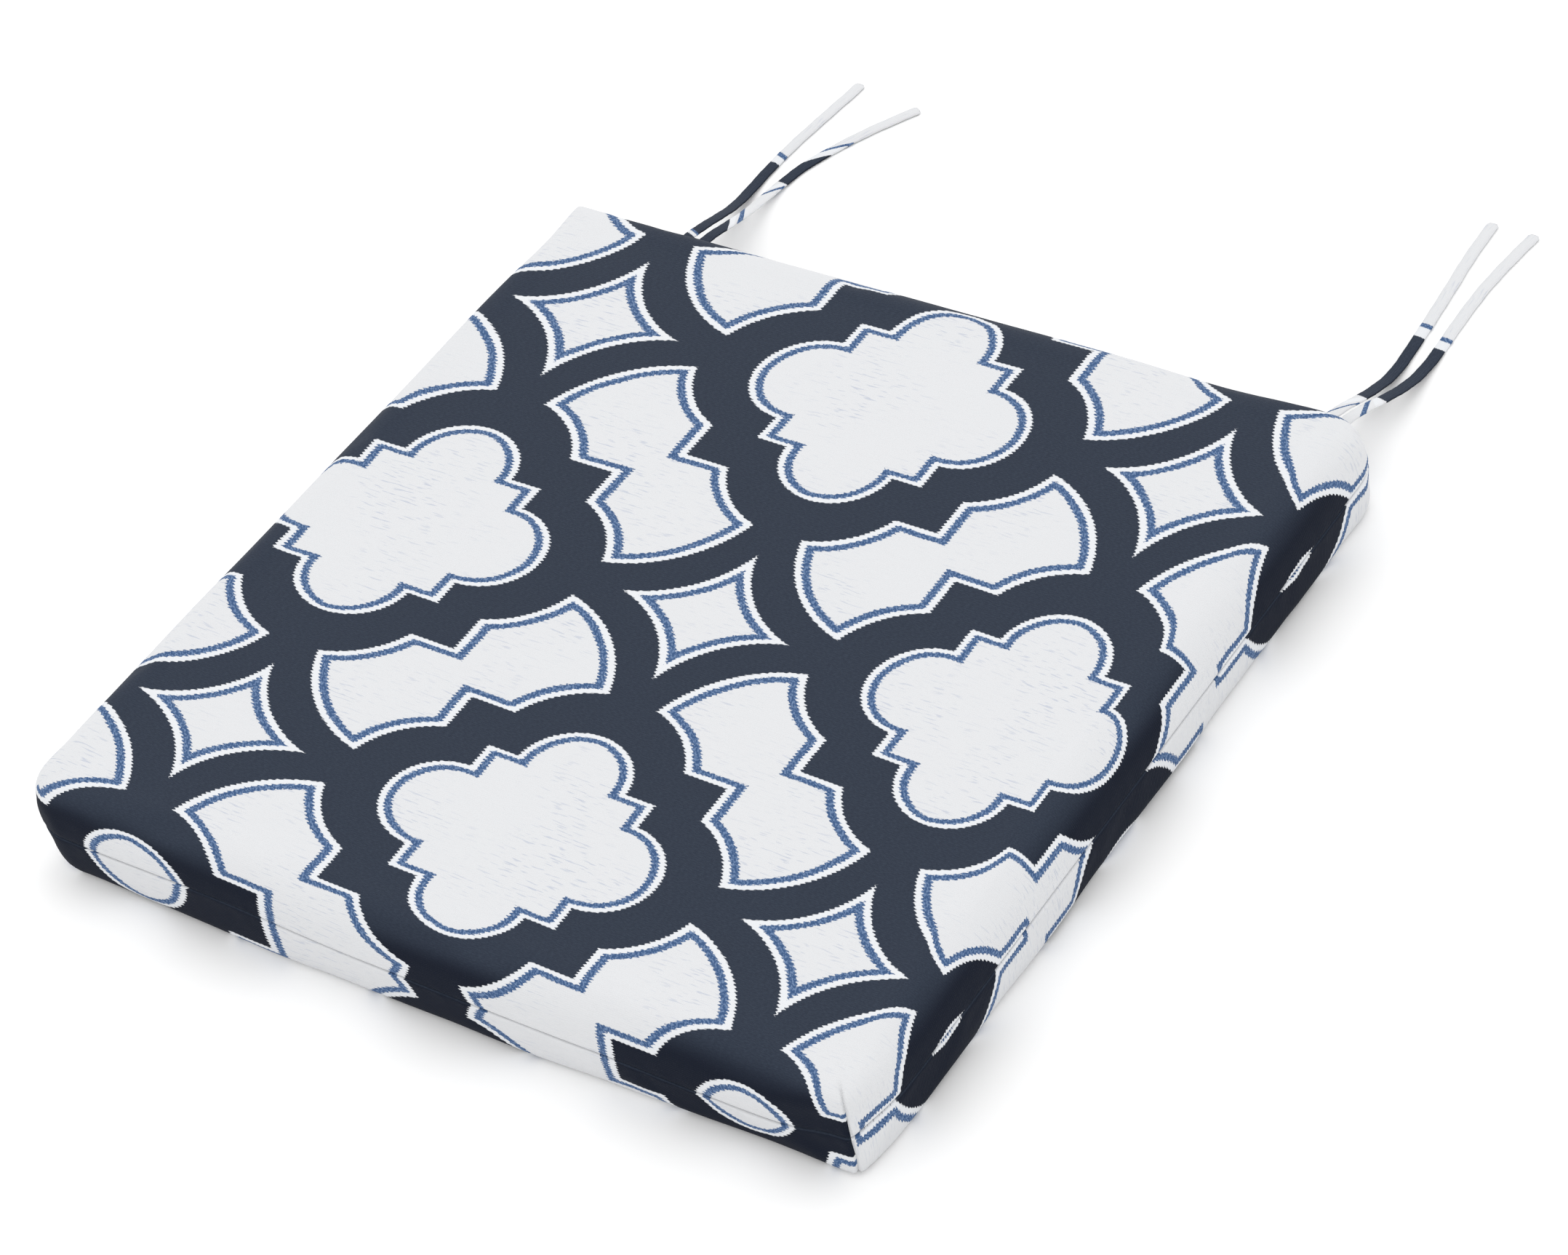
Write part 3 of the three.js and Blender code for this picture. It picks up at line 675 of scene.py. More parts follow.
class Panel:
    """One half of the pad's skin, or of a layer under it, inset from the cover's surface.

    points, faces and uv (a place on the fabric for each corner of each face); rings holds each
    wall ring's points, from the face's edge to the seam, as four sides that share their ends."""

    def __init__(self, half, cells=(80, 80), wall_rings=9, inset=0.0, rim=0.0):
        self.half = half
        self.spacing = [edge_spacing(cells[0]), edge_spacing(cells[1])]
        self.blocks = []
        self.count = 0
        self.faces = []
        self.uv = []
        self.rings = []
        self.across, up, self.lengths = even_profile(half, half["squareness"], wall_rings)
        self.sharp_across, sharp_up, _ = even_profile(half, SHARP, wall_rings)
        side = half["side"]
        reach = half["reach"] - inset
        rim_z = SEAM_Z + side * rim
        rise = half["face"] - side * inset - rim_z
        self.make_face(inset, rim_z + rise)
        for r in range(1, wall_rings + 1):
            insets = inset + reach * self.across[r], inset + reach * self.sharp_across[r]
            ring = []
            for s in range(4):
                xy, _, near = side_ring(s, self.spacing[s % 2], *insets)
                share = up[r] + (sharp_up[r] - up[r]) * near
                ring.append(np.column_stack([xy, rim_z + rise * share])[:-1])
            self.add_ring(ring)
        self.points = np.concatenate(self.blocks)
        self.make_walls()

    def add_points(self, points):
        self.blocks.append(np.asarray(points, float))
        self.count += len(points)
        return np.arange(self.count - len(points), self.count)

    def make_face(self, inset, height):
        tx, ty = self.spacing
        reach = max(self.half["reach"], inset)
        x, y = np.meshgrid(tx * (HALF_X - reach), ty * (HALF_Y - reach))
        rise = self.half["crown"] * (1 - (x / HALF_X) ** 2) * (1 - (y / HALF_Y) ** 2)
        grid = self.add_points(np.column_stack([x.ravel(), y.ravel(), (height + rise).ravel()]))
        self.grid = grid.reshape(x.shape)
        scale_x = (HALF_X - UPPER["reach"]) / (HALF_X - reach)
        scale_y = (HALF_Y - UPPER["reach"]) / (HALF_Y - reach)
        fabric = print_place(*self.meet_walls(x * scale_x, y * scale_y, *np.meshgrid(tx, ty)))
        for j in range(x.shape[0] - 1):
            for i in range(x.shape[1] - 1):
                corners = [(j, i), (j, i + 1), (j + 1, i + 1), (j + 1, i)]
                self.add_face([self.grid[c] for c in corners], [fabric[c] for c in corners])
        border = [self.grid[0, :], self.grid[:, -1], self.grid[-1, ::-1], self.grid[::-1, 0]]
        self.rings.append(border)

    def meet_walls(self, x, y, share_x, share_y):
        """Stretches the lower face's fabric towards its edges, where it meets the walls' fabric."""
        for s, (_, direction, outward) in enumerate(SIDES):
            towards = np.clip(outward[0] * share_x + outward[1] * share_y, 0, 1)
            beside = direction[0] * share_x + direction[1] * share_y
            weight = towards ** 3 * (1 - beside ** 12)
            extra = self.fabric_out(s, self.lengths[-1]) - (side_halves(s)[1] - UPPER["reach"])
            slip = TAKE_UP[s][3] if self.half["side"] < 0 else 0.0
            x = x + weight * (extra * outward[0] + slip * direction[0])
            y = y + weight * (extra * outward[1] + slip * direction[1])
        return x, y

    def fabric_out(self, s, from_seam):
        """How far out on the fabric side s's wall lies at a length from the seam. The lower panel
        mirrors the upper one at the seam."""
        at_face, at_seam, below, _ = TAKE_UP[s]
        out = side_halves(s)[1] - UPPER["reach"] + UPPER_WALL * (at_face + at_seam) / 2
        if self.half["side"] > 0:
            return out - from_seam * (at_seam + (at_face - at_seam) * from_seam / UPPER_WALL / 2)
        return out - from_seam * below

    def add_ring(self, sides):
        """Adds a ring below the last, given without each side's last point: the next side's first."""
        members = [self.add_points(side) for side in sides]
        self.rings.append([np.append(members[s], members[(s + 1) % 4][0]) for s in range(4)])

    def fabric_along(self, s, r):
        """Where ring r of side s lies on the fabric, straight on from the face."""
        direction, outward = SIDES[s][1:]
        half_along = side_halves(s)[0]
        t = self.spacing[s % 2]
        last = len(self.lengths) - 1
        level = min(r, last)
        if r == 0:
            travel = t * (half_along - UPPER["reach"])
        else:
            reach = self.half["reach"]
            travel = side_ring(s, t, reach * self.across[level], reach * self.sharp_across[level])[1]
        below_seam = 0.0002 * (r - last) if r > last else 0.0
        from_seam = self.lengths[-1] - self.lengths[level]
        out = self.fabric_out(s, from_seam) + below_seam
        if self.half["side"] < 0:
            travel = travel + TAKE_UP[s][3]
        return print_place(*(np.outer(travel, direction) + out * outward).T)

    def make_walls(self, first=0):
        for r in range(first, len(self.rings) - 1):
            for s in range(4):
                high, low = self.rings[r][s], self.rings[r + 1][s]
                high_uv, low_uv = self.fabric_along(s, r), self.fabric_along(s, r + 1)
                for i in range(len(high) - 1):
                    self.add_face(
                        [high[i], low[i], low[i + 1], high[i + 1]],
                        [high_uv[i], low_uv[i], low_uv[i + 1], high_uv[i + 1]],
                    )

    def add_face(self, quad, fabric):
        turn = 1 if self.half["side"] > 0 else -1
        self.faces.append([int(q) for q in quad][::turn])
        self.uv.extend(fabric[::turn])

    def seam(self):
        return np.concatenate([side[:-1] for side in self.rings[-1]])


UPPER_WALL = even_profile(UPPER, UPPER["squareness"], 9)[2][-1]

BACK_DROP = 0.0008  # how much flatter the pad is along its back edge
TIP_DROP = 0.0050  # and at its back left corner
BACK_DIP = {"x": 0.150, "width": 0.030, "depth": 0.0022}  # beside the right pair of ties
# How far a corner is pulled in along X, at the pad's face and at the floor, and its reach.
CORNER_PULLS = [((1, -1), (0.006, 0.006), 0.024), ((-1, -1), (0.001, 0.009), 0.045)]
# The front seam wanders up and down: height at places along X, eased between them.
SEAM_WANDER = [(-0.22, 0.0), (-0.11, 0.003), (-0.03, 0.0), (0.10, -0.002), (0.188, -0.0052), (0.23, 0.0005)]


def eased(x, knots):
    total = np.full(len(x), knots[0][1])
    for (start, low), (end, high) in zip(knots, knots[1:]):
        total += (high - low) * smooth_step(start, end, x)
    return total


def settle(points):
    """The pad's own irregular form: bowed front, front corners pulled in, wandering front seam and
    lower back edge."""
    x, y, z = points.T.copy()
    height = np.where(z > SEAM_Z, FACE_Z - SEAM_Z, SEAM_Z)
    near_seam = np.clip(1 - np.abs(z - SEAM_Z) / height, 0, 1) ** 1.6
    z += eased(x, SEAM_WANDER) * near_seam * smooth_step(HALF_Y - 0.028, HALF_Y - 0.004, -y)
    front = smooth_step(0, 1, -y / HALF_Y)
    y = y + FRONT_BOW * (x / HALF_X) ** 2 * front
    above = np.clip((z - SEAM_Z) / (FACE_Z - SEAM_Z), 0, 1)
    at_back = BACK_DROP + BACK_DIP["depth"] * np.exp(-(((x - BACK_DIP["x"]) / BACK_DIP["width"]) ** 2))
    at_tip = TIP_DROP * np.exp(-((np.hypot(x + HALF_X, y - HALF_Y) / 0.05) ** 2))
    z -= above * (at_back * smooth_step(HALF_Y - 0.06, HALF_Y, y) + at_tip)
    below = np.clip((FACE_Z - z) / FACE_Z, 0, 1)
    for (sign_x, sign_y), (at_face, at_floor), reach in CORNER_PULLS:
        from_corner = np.hypot(x - sign_x * HALF_X, y - sign_y * HALF_Y)
        pull = (at_face + (at_floor - at_face) * below) * np.exp(-((from_corner / reach) ** 2))
        x = x - sign_x * pull
    return np.column_stack([x, y, z])


# ---- Cloth simulation ----

CLOTH_FRAMES = 20
START_DROP = 0.0030  # how far under their place the faces start, a little more than they may swell
SWELL_CAP = 0.0024  # how far a point swells at most
FOAM_GIVE = 0.0005  # how far a point sinks into the foam at most
SLIP = 0.0012  # how far a point slides along the foam at most
UNEVEN = 0.0005  # height of the top's gentle waves
FLOOR_GAP = 0.0003


def inflate(made, seam, cap):
    """Fills a closed skin by Blender's cloth pressure with its seam held. The foam inside lets no
    point sink in, and the cap limits how far a point swells."""
    before = coordinates(made.data)
    normals = normals_of(made.data)
    held = made.vertex_groups.new(name="seam")
    held.add([int(i) for i in seam], 1.0, "REPLACE")
    cloth = made.modifiers.new("cloth", "CLOTH")
    settings = cloth.settings
    settings.quality = 5
    settings.mass = 0.3
    settings.tension_stiffness = 300
    settings.compression_stiffness = 300
    settings.shear_stiffness = 100
    settings.bending_stiffness = 5
    settings.use_pressure = True
    settings.uniform_pressure_force = 4
    settings.vertex_group_mass = "seam"
    settings.effector_weights.gravity = 0
    settings.shrink_min = -0.004
    cloth.collision_settings.use_collision = False
    cloth.point_cache.frame_start = 1
    cloth.point_cache.frame_end = CLOTH_FRAMES
    for f in range(1, CLOTH_FRAMES + 1):
        scene.frame_set(f)
    moved = made.evaluated_get(bpy.context.evaluated_depsgraph_get()).to_mesh()
    after = coordinates(moved)
    made.modifiers.clear()
    scene.frame_set(1)
    shift = after - before
    swell = (shift * normals).sum(1)
    sideways = shift - normals * swell[:, None]
    swell = np.where(swell > 0, cap * np.tanh(swell / cap), FOAM_GIVE * np.tanh(swell / FOAM_GIVE))
    size = np.linalg.norm(sideways, axis=1)
    sideways *= (SLIP * np.tanh(size / SLIP) / np.maximum(size, 1e-9))[:, None]
    return before + normals * swell[:, None] + sideways


def simulate_skin(upper, lower):
    """Runs the cloth once over both panels, welded at the seam, and gives each its new points."""
    shared = upper.seam()
    lower_seam = lower.seam()
    rename = np.zeros(len(lower.points), int)
    is_seam = np.zeros(len(lower.points), bool)
    is_seam[lower_seam] = True
    rename[lower_seam] = shared
    rename[~is_seam] = len(upper.points) + np.arange((~is_seam).sum())
    start = settle(np.concatenate([upper.points, lower.points[~is_seam]]))
    inside = np.minimum(HALF_X - np.abs(start[:, 0]), HALF_Y - np.abs(start[:, 1]))
    drop = START_DROP
    start[:, 2] -= drop * smooth_step(0.002, 0.030, inside) * np.sign(start[:, 2] - SEAM_Z)
    start[:, 2] += UNEVEN * ripple(start, (0.09, 0.13, 0.21), SEED) * (start[:, 2] > SEAM_Z + 0.01)
    faces = upper.faces + [[int(rename[q]) for q in face] for face in lower.faces]
    skin = make_object("skin_start", start, faces)
    after = inflate(skin, shared, SWELL_CAP)
    bpy.data.objects.remove(skin)
    after[:, 2] = np.maximum(after[:, 2], FLOOR_GAP)
    return after[:len(upper.points)], after[rename]


# ---- Covers ----

FABRIC = 0.0008  # thickness
SLOT_HALF = 0.0044  # how far each lip of the back seam stands off along the zip
SLOT_ENDS = (ZIP_LEFT - 0.0145, ZIP_RIGHT + 0.009)  # left end has room for the slider and its tab
SLOT_BLEND = 0.005  # length over which the opening narrows to nothing
LIP = 0.0010  # how far each lip of the closed seam stands off
TIE_ROOM = 0.0006  # how far a tie pushes each lip of the seam away
# Where the fabric turns in: inwards from the seam and off its middle, closed and along the zip.
FOLD = [(0.0006, 0.0006), (0.0016, 0.0004), (0.0070, 0.0003)]
SLOT_FOLD = [(0.0005, 0.0002), (0.0014, 0.0001), (0.0043, 0.0001)]


def slot_share(points):
    """1 along the zip's opening in the back seam, 0 elsewhere."""
    x, y = points[:, 0], points[:, 1]
    inside = smooth_step(SLOT_ENDS[0], SLOT_ENDS[0] + SLOT_BLEND, x)
    inside = inside * (1 - smooth_step(SLOT_ENDS[1] - SLOT_BLEND, SLOT_ENDS[1], x))
    return inside * (y > HALF_Y - 0.03)


def open_slot(points, side):
    """Parts the back seam's lips along the zip, and a little round each tie."""
    off = (points[:, 2] - SEAM_Z) * side
    push = SLOT_HALF * slot_share(points) * np.clip(1 - off / 0.020, 0, 1) ** 2
    for route in TIE_ROUTES.values():
        beside = np.exp(-(((points[:, 0] - route[0][0]) / 0.0046) ** 4)) * (points[:, 1] > HALF_Y - 0.01)
        push += TIE_ROOM * beside * np.clip(1 - off / 0.008, 0, 1) ** 2
    points = points.copy()
    points[:, 2] += side * push
    return points


def fold_seam(panel, points):
    """Turns the panel's edge in at the seam: three rings that make the groove and the allowance."""
    side = panel.half["side"]
    edge = points[panel.seam()]
    share = slot_share(edge)[:, None]
    panel.blocks = [points]
    panel.count = len(points)
    panel.blocks[0][panel.seam(), 2] = edge[:, 2] + side * LIP * (1 - share[:, 0])
    first = len(panel.rings) - 1
    size = np.array([HALF_X, HALF_Y])
    cuts = np.cumsum([len(border) - 1 for border in panel.rings[0]])[:-1]
    for (inwards, off), (slot_inwards, slot_off) in zip(FOLD, SLOT_FOLD):
        depth = inwards + (slot_inwards - inwards) * share
        xy = edge[:, :2] * (1 - depth / size)
        z = edge[:, 2] + side * (off + (slot_off - off) * share[:, 0])
        panel.add_ring(np.split(np.column_stack([xy, z]), cuts))
    panel.points = np.concatenate(panel.blocks)
    panel.make_walls(first)


def seam_distance(panel):
    """How far each point lies from the seam over the surface, and from the nearest corner's dart."""
    away = np.full(len(panel.points), 0.2)
    dart = np.full(len(panel.points), 0.2)
    last = len(panel.lengths) - 1
    for r, ring in enumerate(panel.rings):
        from_seam = panel.lengths[-1] - panel.lengths[min(r, last)]
        if r > last:
            from_seam = -0.001 * (r - last)
        for side in ring:
            away[side] = from_seam
            steps = np.linalg.norm(np.diff(panel.points[side], axis=0), axis=1)
            travel = np.concatenate([[0], np.cumsum(steps)])
            dart[side] = np.minimum(dart[side], np.minimum(travel, travel[-1] - travel))
    return away, dart


def make_cover(name, node, panel, points, material):
    side = panel.half["side"]
    fold_seam(panel, open_slot(points, side))
    made = make_object(name, panel.points, panel.faces, panel.uv)
    away, dart = seam_distance(panel)
    store(made.data, "away", away)
    store(made.data, "dart", dart)
    subdivide(made)
    detail_cover(made)
    solid = made.modifiers.new("cloth_thickness", "SOLIDIFY")
    solid.thickness = FABRIC
    solid.offset = -1
    apply_modifiers(made)
    made.data.shade_smooth()
    dress(made, material, node)
    return made


DARTS = {
    # corner: signs of X and Y, dart length up the wall, depth
    "front_right": (1, -1, 0.030, 0.0020),
    "front_left": (-1, -1, 0.018, 0.0012),
    "back_right": (1, 1, 0.022, 0.0012),
    "back_left": (-1, 1, 0.020, 0.0012),
}
DART_WIDTH = 0.0011
PUCKER = {"depth": 0.00022, "spacing": 0.013, "reach": 0.006}


def detail_cover(made):
    """Sewn darts at the corners and the small puckers that a seam's stitches draw."""
    points = coordinates(made.data)
    away = read(made.data, "away")
    dart = read(made.data, "dart")
    shift = np.zeros(len(points))
    for sign_x, sign_y, reach, depth in DARTS.values():
        here = (points[:, 0] * sign_x > 0.15) & (points[:, 1] * sign_y > 0.15)
        length_share = 1 - smooth_step(reach * 0.8, reach, away)
        groove = np.exp(-((dart / DART_WIDTH) ** 2))
        shift -= here * depth * groove * length_share * (away > 0.0003)
    along = np.where(np.abs(points[:, 1]) > HALF_Y - 0.01, points[:, 0], points[:, 1])
    wave = np.sin(along * math.tau / PUCKER["spacing"] + 2 * np.sin(along * 23))
    pucker = wave * np.exp(-np.abs(away) / PUCKER["reach"])
    shift += PUCKER["depth"] * pucker * (away > 0.0002)
    push_out(made, shift)


# ---- Foam slab and fibre wrap ----

INNER_CELLS = (44, 44)
INNER_RINGS = 6
FOAM_INSET = 0.0095
WRAP_INSETS = (0.0030, 0.0082)  # of the wrap's outer and inner side
WRAP_PARTING = 0.0022  # how far each half of the wrap ends before the seam's middle
ZIP_SQUASH = 0.55


def room_for_zip(points):
    """Squashes what lies behind the zip towards the foam."""
    x, y, z = points.T.copy()
    along = smooth_step(SLOT_ENDS[0] - 0.014, SLOT_ENDS[0] - 0.004, x)
    along *= 1 - smooth_step(SLOT_ENDS[1] + 0.004, SLOT_ENDS[1] + 0.014, x)
    share = along * (1 - smooth_step(0.0140, 0.0175, np.abs(z - SEAM_Z)))
    limit = HALF_Y - 0.013
    y -= share * ZIP_SQUASH * np.clip(y - limit, 0, None)
    return np.column_stack([x, y, z])


def close_panels(name, outer, other, closing_flip):
    """One closed body from two panels whose seam rings are joined by a strip."""
    shift = len(outer.points)
    points = np.concatenate([outer.points, other.points])
    faces = list(outer.faces)
    other_faces = [[q + shift for q in face] for face in other.faces]
    faces += [face[::-1] for face in other_faces] if closing_flip else other_faces
    ring_a = outer.seam()
    ring_b = other.seam() + shift
    count = len(ring_a)
    for i in range(count):
        n = (i + 1) % count
        strip = [int(ring_a[i]), int(ring_b[i]), int(ring_b[n]), int(ring_a[n])]
        faces.append(strip if outer.half["side"] > 0 else strip[::-1])
    return make_object(name, room_for_zip(settle(points)), faces)


def finish_layer(made, node, material, lumps, waves, seed):
    subdivide(made)
    push_out(made, lumps * (ripple(coordinates(made.data), waves, seed) - 1) / 2)
    made.data.shade_smooth()
    dress(made, material, node)


def make_foam(material):
    halves = [Panel(half, INNER_CELLS, INNER_RINGS, FOAM_INSET) for half in (UPPER, LOWER)]
    made = close_panels("foam_slab", *halves, False)
    finish_layer(made, "foam_core", material, 0.0004, (0.012, 0.019, 0.031), SEED + 20)


def make_wrap(name, node, half, material):
    sides = [Panel(half, INNER_CELLS, INNER_RINGS, inset, WRAP_PARTING) for inset in WRAP_INSETS]
    made = close_panels(name, *sides, True)
    finish_layer(made, node, material, 0.0006, (0.009, 0.016, 0.037), SEED + 30)


def foam_material():
    material, tree, shader = new_material("open_cell_foam", roughness=0.95, specular=0.2)
    x, y, z = object_fields(tree)
    cells = noise(tree, x * 900, y * 900, z * 900, detail=2.0)
    tone = noise(tree, x * 40, y * 40, z * 40, detail=2.0).step(0.3, 0.7)
    aged = mix_colours(tree, tone, linear(232, 222, 178), linear(240, 232, 196))
    colour = mix_colours(tree, cells.step(0.35, 0.55), linear(196, 182, 134), aged)
    set_surface(tree, shader, colour, cells, 0.0006, 0.8)
    return material


def wrap_material():
    material, tree, shader = new_material("fibre_wrap_batting", roughness=1.0, specular=0.15, sheen=0.3)
    x, y, z = object_fields(tree)
    strands = noise(tree, x * 500, y * 120, z * 300, detail=4.0)
    crossed = noise(tree, x * 130, y * 480, z * 300, detail=4.0)
    fluff = strands * 0.5 + crossed * 0.5
    colour = mix_colours(tree, fluff.step(0.35, 0.62), linear(222, 223, 224), linear(247, 247, 246))
    set_surface(tree, shader, colour, fluff, 0.0012, 0.8)
    return material


# ---- Zip: woven tapes, coils round a core, and the topstitching that holds them ----

COIL_PITCH = 0.00125
COIL_WIRE = 0.00027  # the filament's radius
COIL_STEPS = 12  # points on each turn
COIL_HEAD = 0.00025  # how far each turn reaches past its row towards the other
CORE_RADIUS = 0.00028
# The tape's section: away from the seam, height of its middle over the CAD tape's, half thickness.
# It runs behind the coil, steps up beside it in a corded edge, and goes on flat under the cover.
TAPE_PROFILE = [
    (0.0001, -0.00104, 0.00008), (0.003, -0.00104, 0.00008), (0.0034, -0.0003, 0.0002),
    (0.0038, 0.0, 0.0003), (0.0043, 0.0, 0.0003), (0.0047, 0.0, 0.0002), (0.008, 0.0, 0.0002),
    (0.0125, 0.0, 0.0002),
]
TAPE_TAIL = 0.0055  # how far the tapes run on behind the left end of the opening
BAR_TACK = {"bars": 6, "first": 0.0018, "spacing": 0.00115, "half": 0.0011, "slant": 0.0004, "beyond": 0.0035}
STITCH = {"pitch": 0.0033, "length": 0.0025, "radius": 0.0002, "rise": 0.00022, "from_seam": 0.0088}


def swept_faces(steps, count):
    """Faces of a closed tube of count points round, steps long, with both ends shut."""
    faces = []
    for i in range(steps):
        for k in range(count):
            n = (k + 1) % count
            faces.append((i * count + k, (i + 1) * count + k, (i + 1) * count + n, i * count + n))
    faces.append(tuple(range(count)))
    faces.append(tuple(steps * count + k for k in range(count - 1, -1, -1)))
    return faces


def tube(path, radius, reference, sides=6):
    """Points and faces of a closed tube along a path; reference is never along the path."""
    path = np.asarray(path, float)
    tangents = np.gradient(path, axis=0)
    tangents /= np.linalg.norm(tangents, axis=1)[:, None]
    across = np.cross(tangents, reference)
    across /= np.linalg.norm(across, axis=1)[:, None]
    over = np.cross(across, tangents)
    angles = np.arange(sides) * math.tau / sides
    ring = across[:, None] * np.cos(angles)[None, :, None] + over[:, None] * np.sin(angles)[None, :, None]
    points = (path[:, None] + ring * radius).reshape(-1, 3)
    return points, swept_faces(len(path) - 1, sides)


def join_shells(shells):
    points, faces, count = [], [], 0
    for shell_points, shell_faces in shells:
        points.append(shell_points)
        faces += [tuple(q + count for q in face) for face in shell_faces]
        count += len(shell_points)
    return np.concatenate(points), faces


def zip_piece(name, shells, material, node=None):
    made = make_object(name, *join_shells(shells))
    dress(made, material, node)


def coil_shell(node):
    low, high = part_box(node)
    middle = (low + high) / 2
    side = 1 if low.z > SEAM_Z else -1
    turns = (high.x - low.x - 2 * COIL_WIRE) / COIL_PITCH
    t = np.linspace(0, turns * math.tau, int(turns * COIL_STEPS) + 1)
    x = low.x + COIL_WIRE + COIL_PITCH * t / math.tau
    y = middle.y + ((high.y - low.y) / 2 - COIL_WIRE) * np.cos(t)
    head = np.clip(-side * np.sin(t), 0, 1) * COIL_HEAD
    z = middle.z + ((high.z - low.z) / 2 - COIL_WIRE) * np.sin(t) - side * head
    return tube(np.column_stack([x, y, z]), COIL_WIRE, (1, 0, 0))


def tape_shells(node, coil_node):
    """A strip with a corded edge beside the coil, and the core that runs through the coil."""
    low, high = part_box(node)
    side = 1 if low.z > SEAM_Z else -1
    middle = (high.y + low.y) / 2
    section = [(along, over + half) for along, over, half in TAPE_PROFILE]
    section += [(along, over - half) for along, over, half in TAPE_PROFILE[::-1]]
    steps = 150
    points = []
    for x in np.linspace(low.x - TAPE_TAIL, high.x, steps + 1):
        wave = 0.00012 * math.sin(x * math.tau / 0.021 + side) + 0.00008 * math.sin(x * math.tau / 0.0083)
        for along, over in section:
            loose = min(1, max(0, along - 0.005) / 0.004)
            points.append((x, middle + over + wave * loose, SEAM_Z + side * along))
    faces = swept_faces(steps, len(section))
    if side < 0:
        faces = [face[::-1] for face in faces]
    coil_low, coil_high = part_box(coil_node)
    core_y = (coil_low.y + coil_high.y) / 2
    core_z = (coil_low.z + coil_high.z) / 2
    core_path = [(x, core_y, core_z) for x in np.linspace(coil_low.x, coil_high.x, 60)]
    core = tube(core_path, CORE_RADIUS, (0, 0, 1))
    return [(np.array(points), faces), core]


def stitch_shell(start, end, surface):
    """One stitch laid on a surface that it is looked for from behind the pad: sunk at both ends."""
    path = []
    for share in np.linspace(0, 1, 6):
        x, z = (1 - share) * np.array(start) + share * np.array(end)
        hit = surface.ray_cast(Vector((x, HALF_Y + 0.05, z)), Vector((0, -1, 0)))[0]
        lift = STITCH["rise"] * (1.9 * math.sin(math.pi * share) ** 0.6 - 0.9)
        path.append((x, hit.y + lift, z))
    return tube(path, STITCH["radius"], (0, 1, 0))


def cover_surface(made):
    polygons = [tuple(p.vertices) for p in made.data.polygons]
    return BVHTree.FromPolygons([v.co for v in made.data.vertices], polygons)


def make_topstitching(covers, material):
    """A row of stitches above and below the zip's opening, and a bar tack at each of its ends."""
    for label, side in (("upper", 1), ("lower", -1)):
        surface = cover_surface(covers[label])
        z = SEAM_Z + side * STITCH["from_seam"]
        shells = []
        x = SLOT_ENDS[0] - 0.003
        while x < SLOT_ENDS[1] + 0.001:
            shells.append(stitch_shell((x, z), (x + STITCH["length"], z), surface))
            x += STITCH["pitch"]
        for end in (SLOT_ENDS[0] - BAR_TACK["beyond"], SLOT_ENDS[1] + BAR_TACK["beyond"]):
            for k in range(BAR_TACK["bars"]):
                from_z = SEAM_Z + side * (BAR_TACK["first"] + BAR_TACK["spacing"] * k)
                left = (end - BAR_TACK["half"], from_z)
                right = (end + BAR_TACK["half"], from_z + side * BAR_TACK["slant"])
                shells.append(stitch_shell(left, right, surface))
        zip_piece("stitches_" + label, shells, material)


def tape_material():
    material, tree, shader = new_material("zip_tape_weave", roughness=0.8, specular=0.2)
    x, y, z = [axis * 1000 for axis in object_fields(tree)]
    herringbone = ((z * 0.9).mirror(1.0) * 2.2 + x * 1.6) * math.tau
    ribs = herringbone.sine() * 0.5 + 0.5
    worn = noise(tree, x * 0.6, y, z * 0.9, detail=3.0)
    # painted light on the herringbone ribs' raised crests, mixed with the worn noise's random tone
    rib_light_and_wear = (ribs * 0.6 + worn * 0.5).step(0.2, 0.9)
    colour = mix_colours(tree, rib_light_and_wear, linear(26, 31, 42), linear(50, 58, 74))
    set_surface(tree, shader, colour, ribs, 0.00012, 0.8)
    return material


def coil_material():
    material, tree, shader = new_material("zip_coil_nylon", roughness=0.38, specular=0.5)
    x, y, z = [axis * 1000 for axis in object_fields(tree)]
    tone = noise(tree, x * 0.35, y * 1.5, z * 1.5, detail=2.0)
    colour = mix_colours(tree, tone.step(0.3, 0.7), linear(24, 29, 40), linear(42, 49, 63))
    set_surface(tree, shader, colour, noise(tree, x * 6, y * 6, z * 6, detail=1.0), 0.00002, 0.4)
    return material


def metal_material():
    """Navy enamel over die-cast zinc, rubbed through in specks."""
    material, tree, shader = new_material("zip_enamelled_metal", roughness=0.34, specular=0.5)
    x, y, z = [axis * 1000 for axis in object_fields(tree)]
    orange_peel = noise(tree, x * 2.5, y * 2.5, z * 2.5, detail=2.0)
    rubbed = noise(tree, x * 0.9, y * 1.4, z * 1.1, 0.5, detail=4.0).step(0.66, 0.72)
    enamel = mix_colours(tree, orange_peel.step(0.35, 0.65), linear(28, 34, 46), linear(38, 45, 59))
    colour = mix_colours(tree, rubbed * 0.8, enamel, linear(142, 146, 152))
    feed(tree, rubbed * 0.9, shader.inputs["Metallic"])
    feed(tree, orange_peel * 0.25 + 0.24, shader.inputs["Roughness"])
    set_surface(tree, shader, colour, orange_peel, 0.00003, 0.5)
    return material


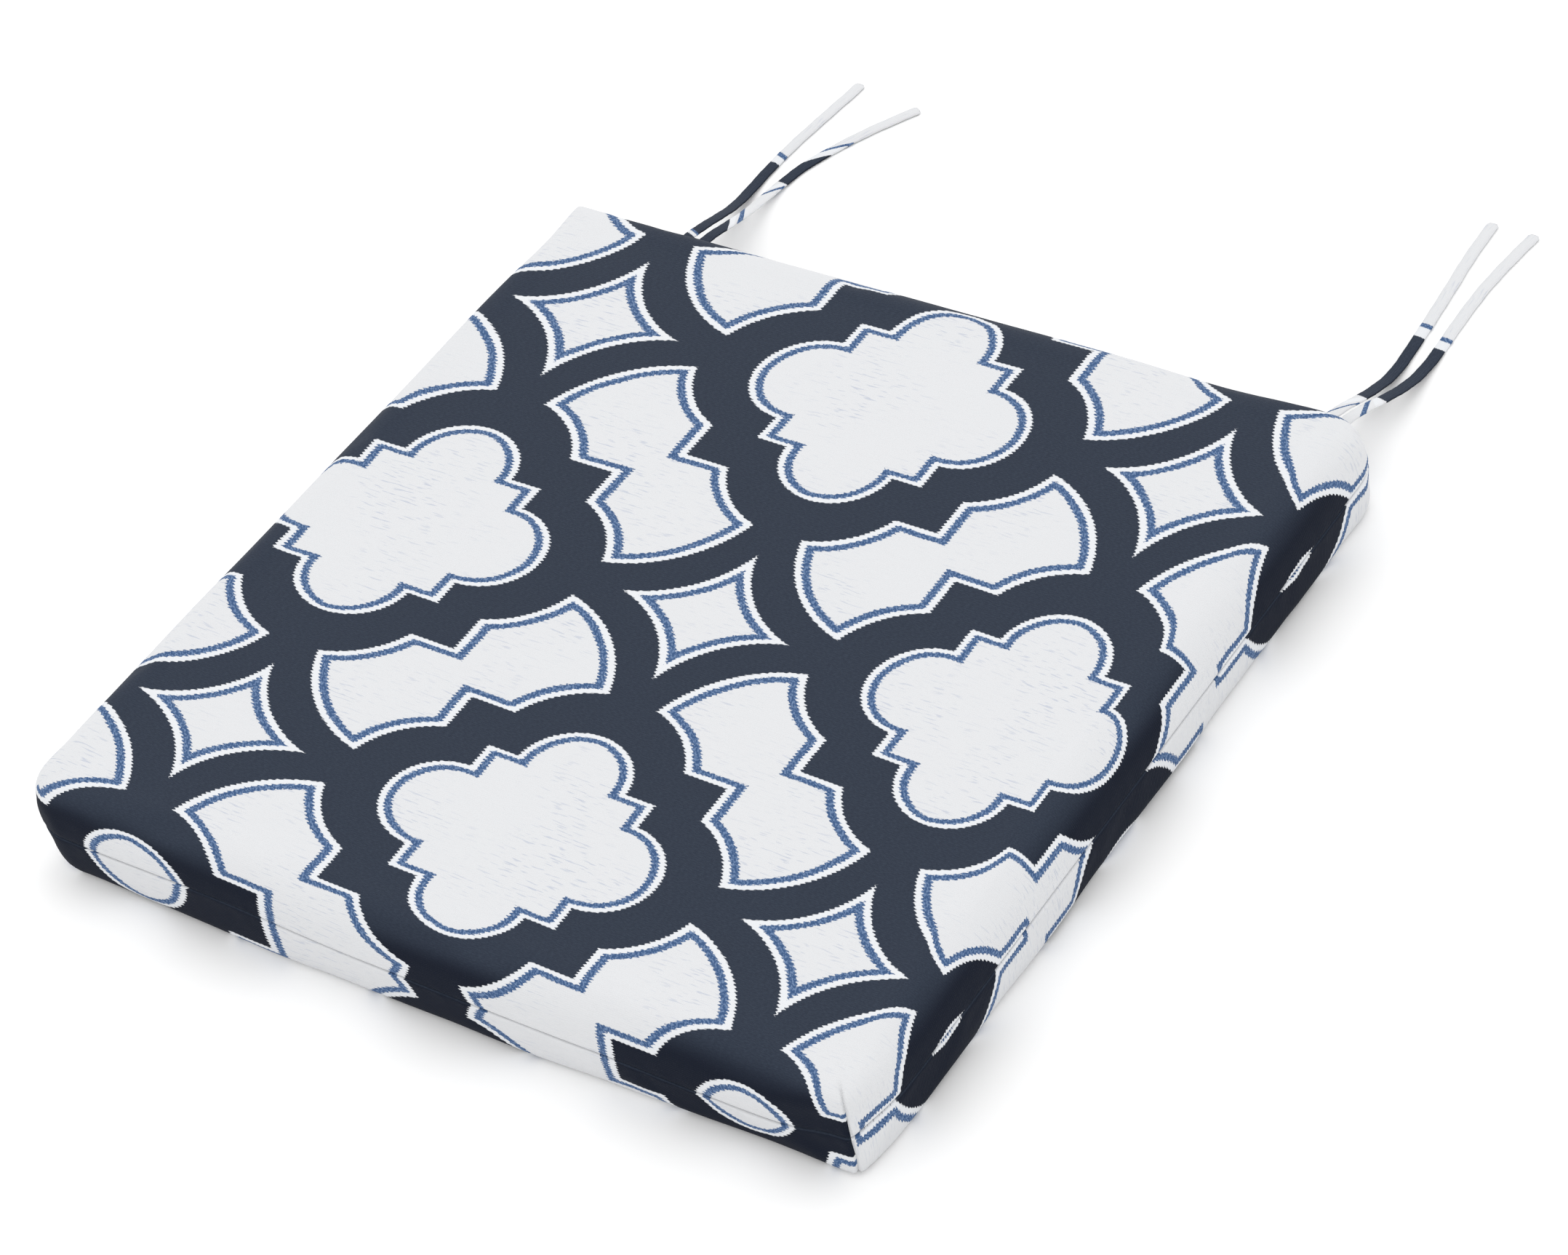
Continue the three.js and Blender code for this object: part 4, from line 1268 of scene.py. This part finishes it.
def thread_material():
    material, tree, shader = new_material("stitching_thread", roughness=0.7, specular=0.2)
    x, _, z = [axis * 1000 for axis in object_fields(tree)]
    twist = ((x + z * 0.8) * (math.tau / 0.45)).sine() * 0.5 + 0.5
    colour = mix_colours(tree, twist * 0.6, linear(206, 208, 212), linear(168, 173, 182))
    set_surface(tree, shader, colour, twist, 0.00005, 0.7)
    return material


def make_zip(covers):
    tape = tape_material()
    coil = coil_material()
    for label in ("upper", "lower"):
        tape_node, coil_node = "zip_tape_" + label, "zip_teeth_" + label
        zip_piece("tape_" + label, tape_shells(tape_node, coil_node), tape, tape_node)
        zip_piece("coil_" + label, [coil_shell(coil_node)], coil, coil_node)
    metal = metal_material()
    for node in ("zip_stop_left", "zip_stop_right", "zip_slider", "zip_pull_tab"):
        data = bpy.data.objects[node].data
        for i in range(len(data.materials)):
            data.materials[i] = metal
    make_topstitching(covers, thread_material())


# ---- Stage ----


def make_stage():
    bpy.ops.mesh.primitive_plane_add(size=12, location=(0, 0, 0))
    floor = bpy.context.object
    floor.name = "floor"
    paper = new_material("floor_paper", roughness=1.0, specular=0.0, colour=linear(243, 243, 243))[0]
    floor.data.materials.append(paper)
    world = bpy.data.worlds.new("studio")
    scene.world = world
    world.use_nodes = True
    background = world.node_tree.nodes["Background"]
    background.inputs[0].default_value = (1, 1, 1, 1)
    background.inputs[1].default_value = 1.25
    sun = bpy.data.lights.new("softbox", "SUN")
    sun.energy = 0.35
    sun.angle = math.radians(55)
    lamp = bpy.data.objects.new("softbox", sun)
    lamp.rotation_euler = Vector((0.42, -0.5, -1.0)).to_track_quat("-Z", "Y").to_euler()
    scene.collection.objects.link(lamp)
    scene.view_settings.view_transform = "Standard"


make_camera()
for i, name in enumerate(TIE_ROUTES):
    make_tie(name, SEED + i, tie_material(name.replace("tie", "strap_cloth"), TIE_BANDS[name]))

printed = cover_material()
upper = Panel(UPPER)
lower = Panel(LOWER)
upper_points, lower_points = simulate_skin(upper, lower)
covers = {
    "upper": make_cover("cover_upper", "top_cover", upper, upper_points, printed),
    "lower": make_cover("cover_lower", "bottom_cover", lower, lower_points, printed),
}
make_foam(foam_material())
wrap = wrap_material()
make_wrap("wrap_upper", "batting_top", UPPER, wrap)
make_wrap("wrap_lower", "batting_bottom", LOWER, wrap)
make_zip(covers)
make_stage()
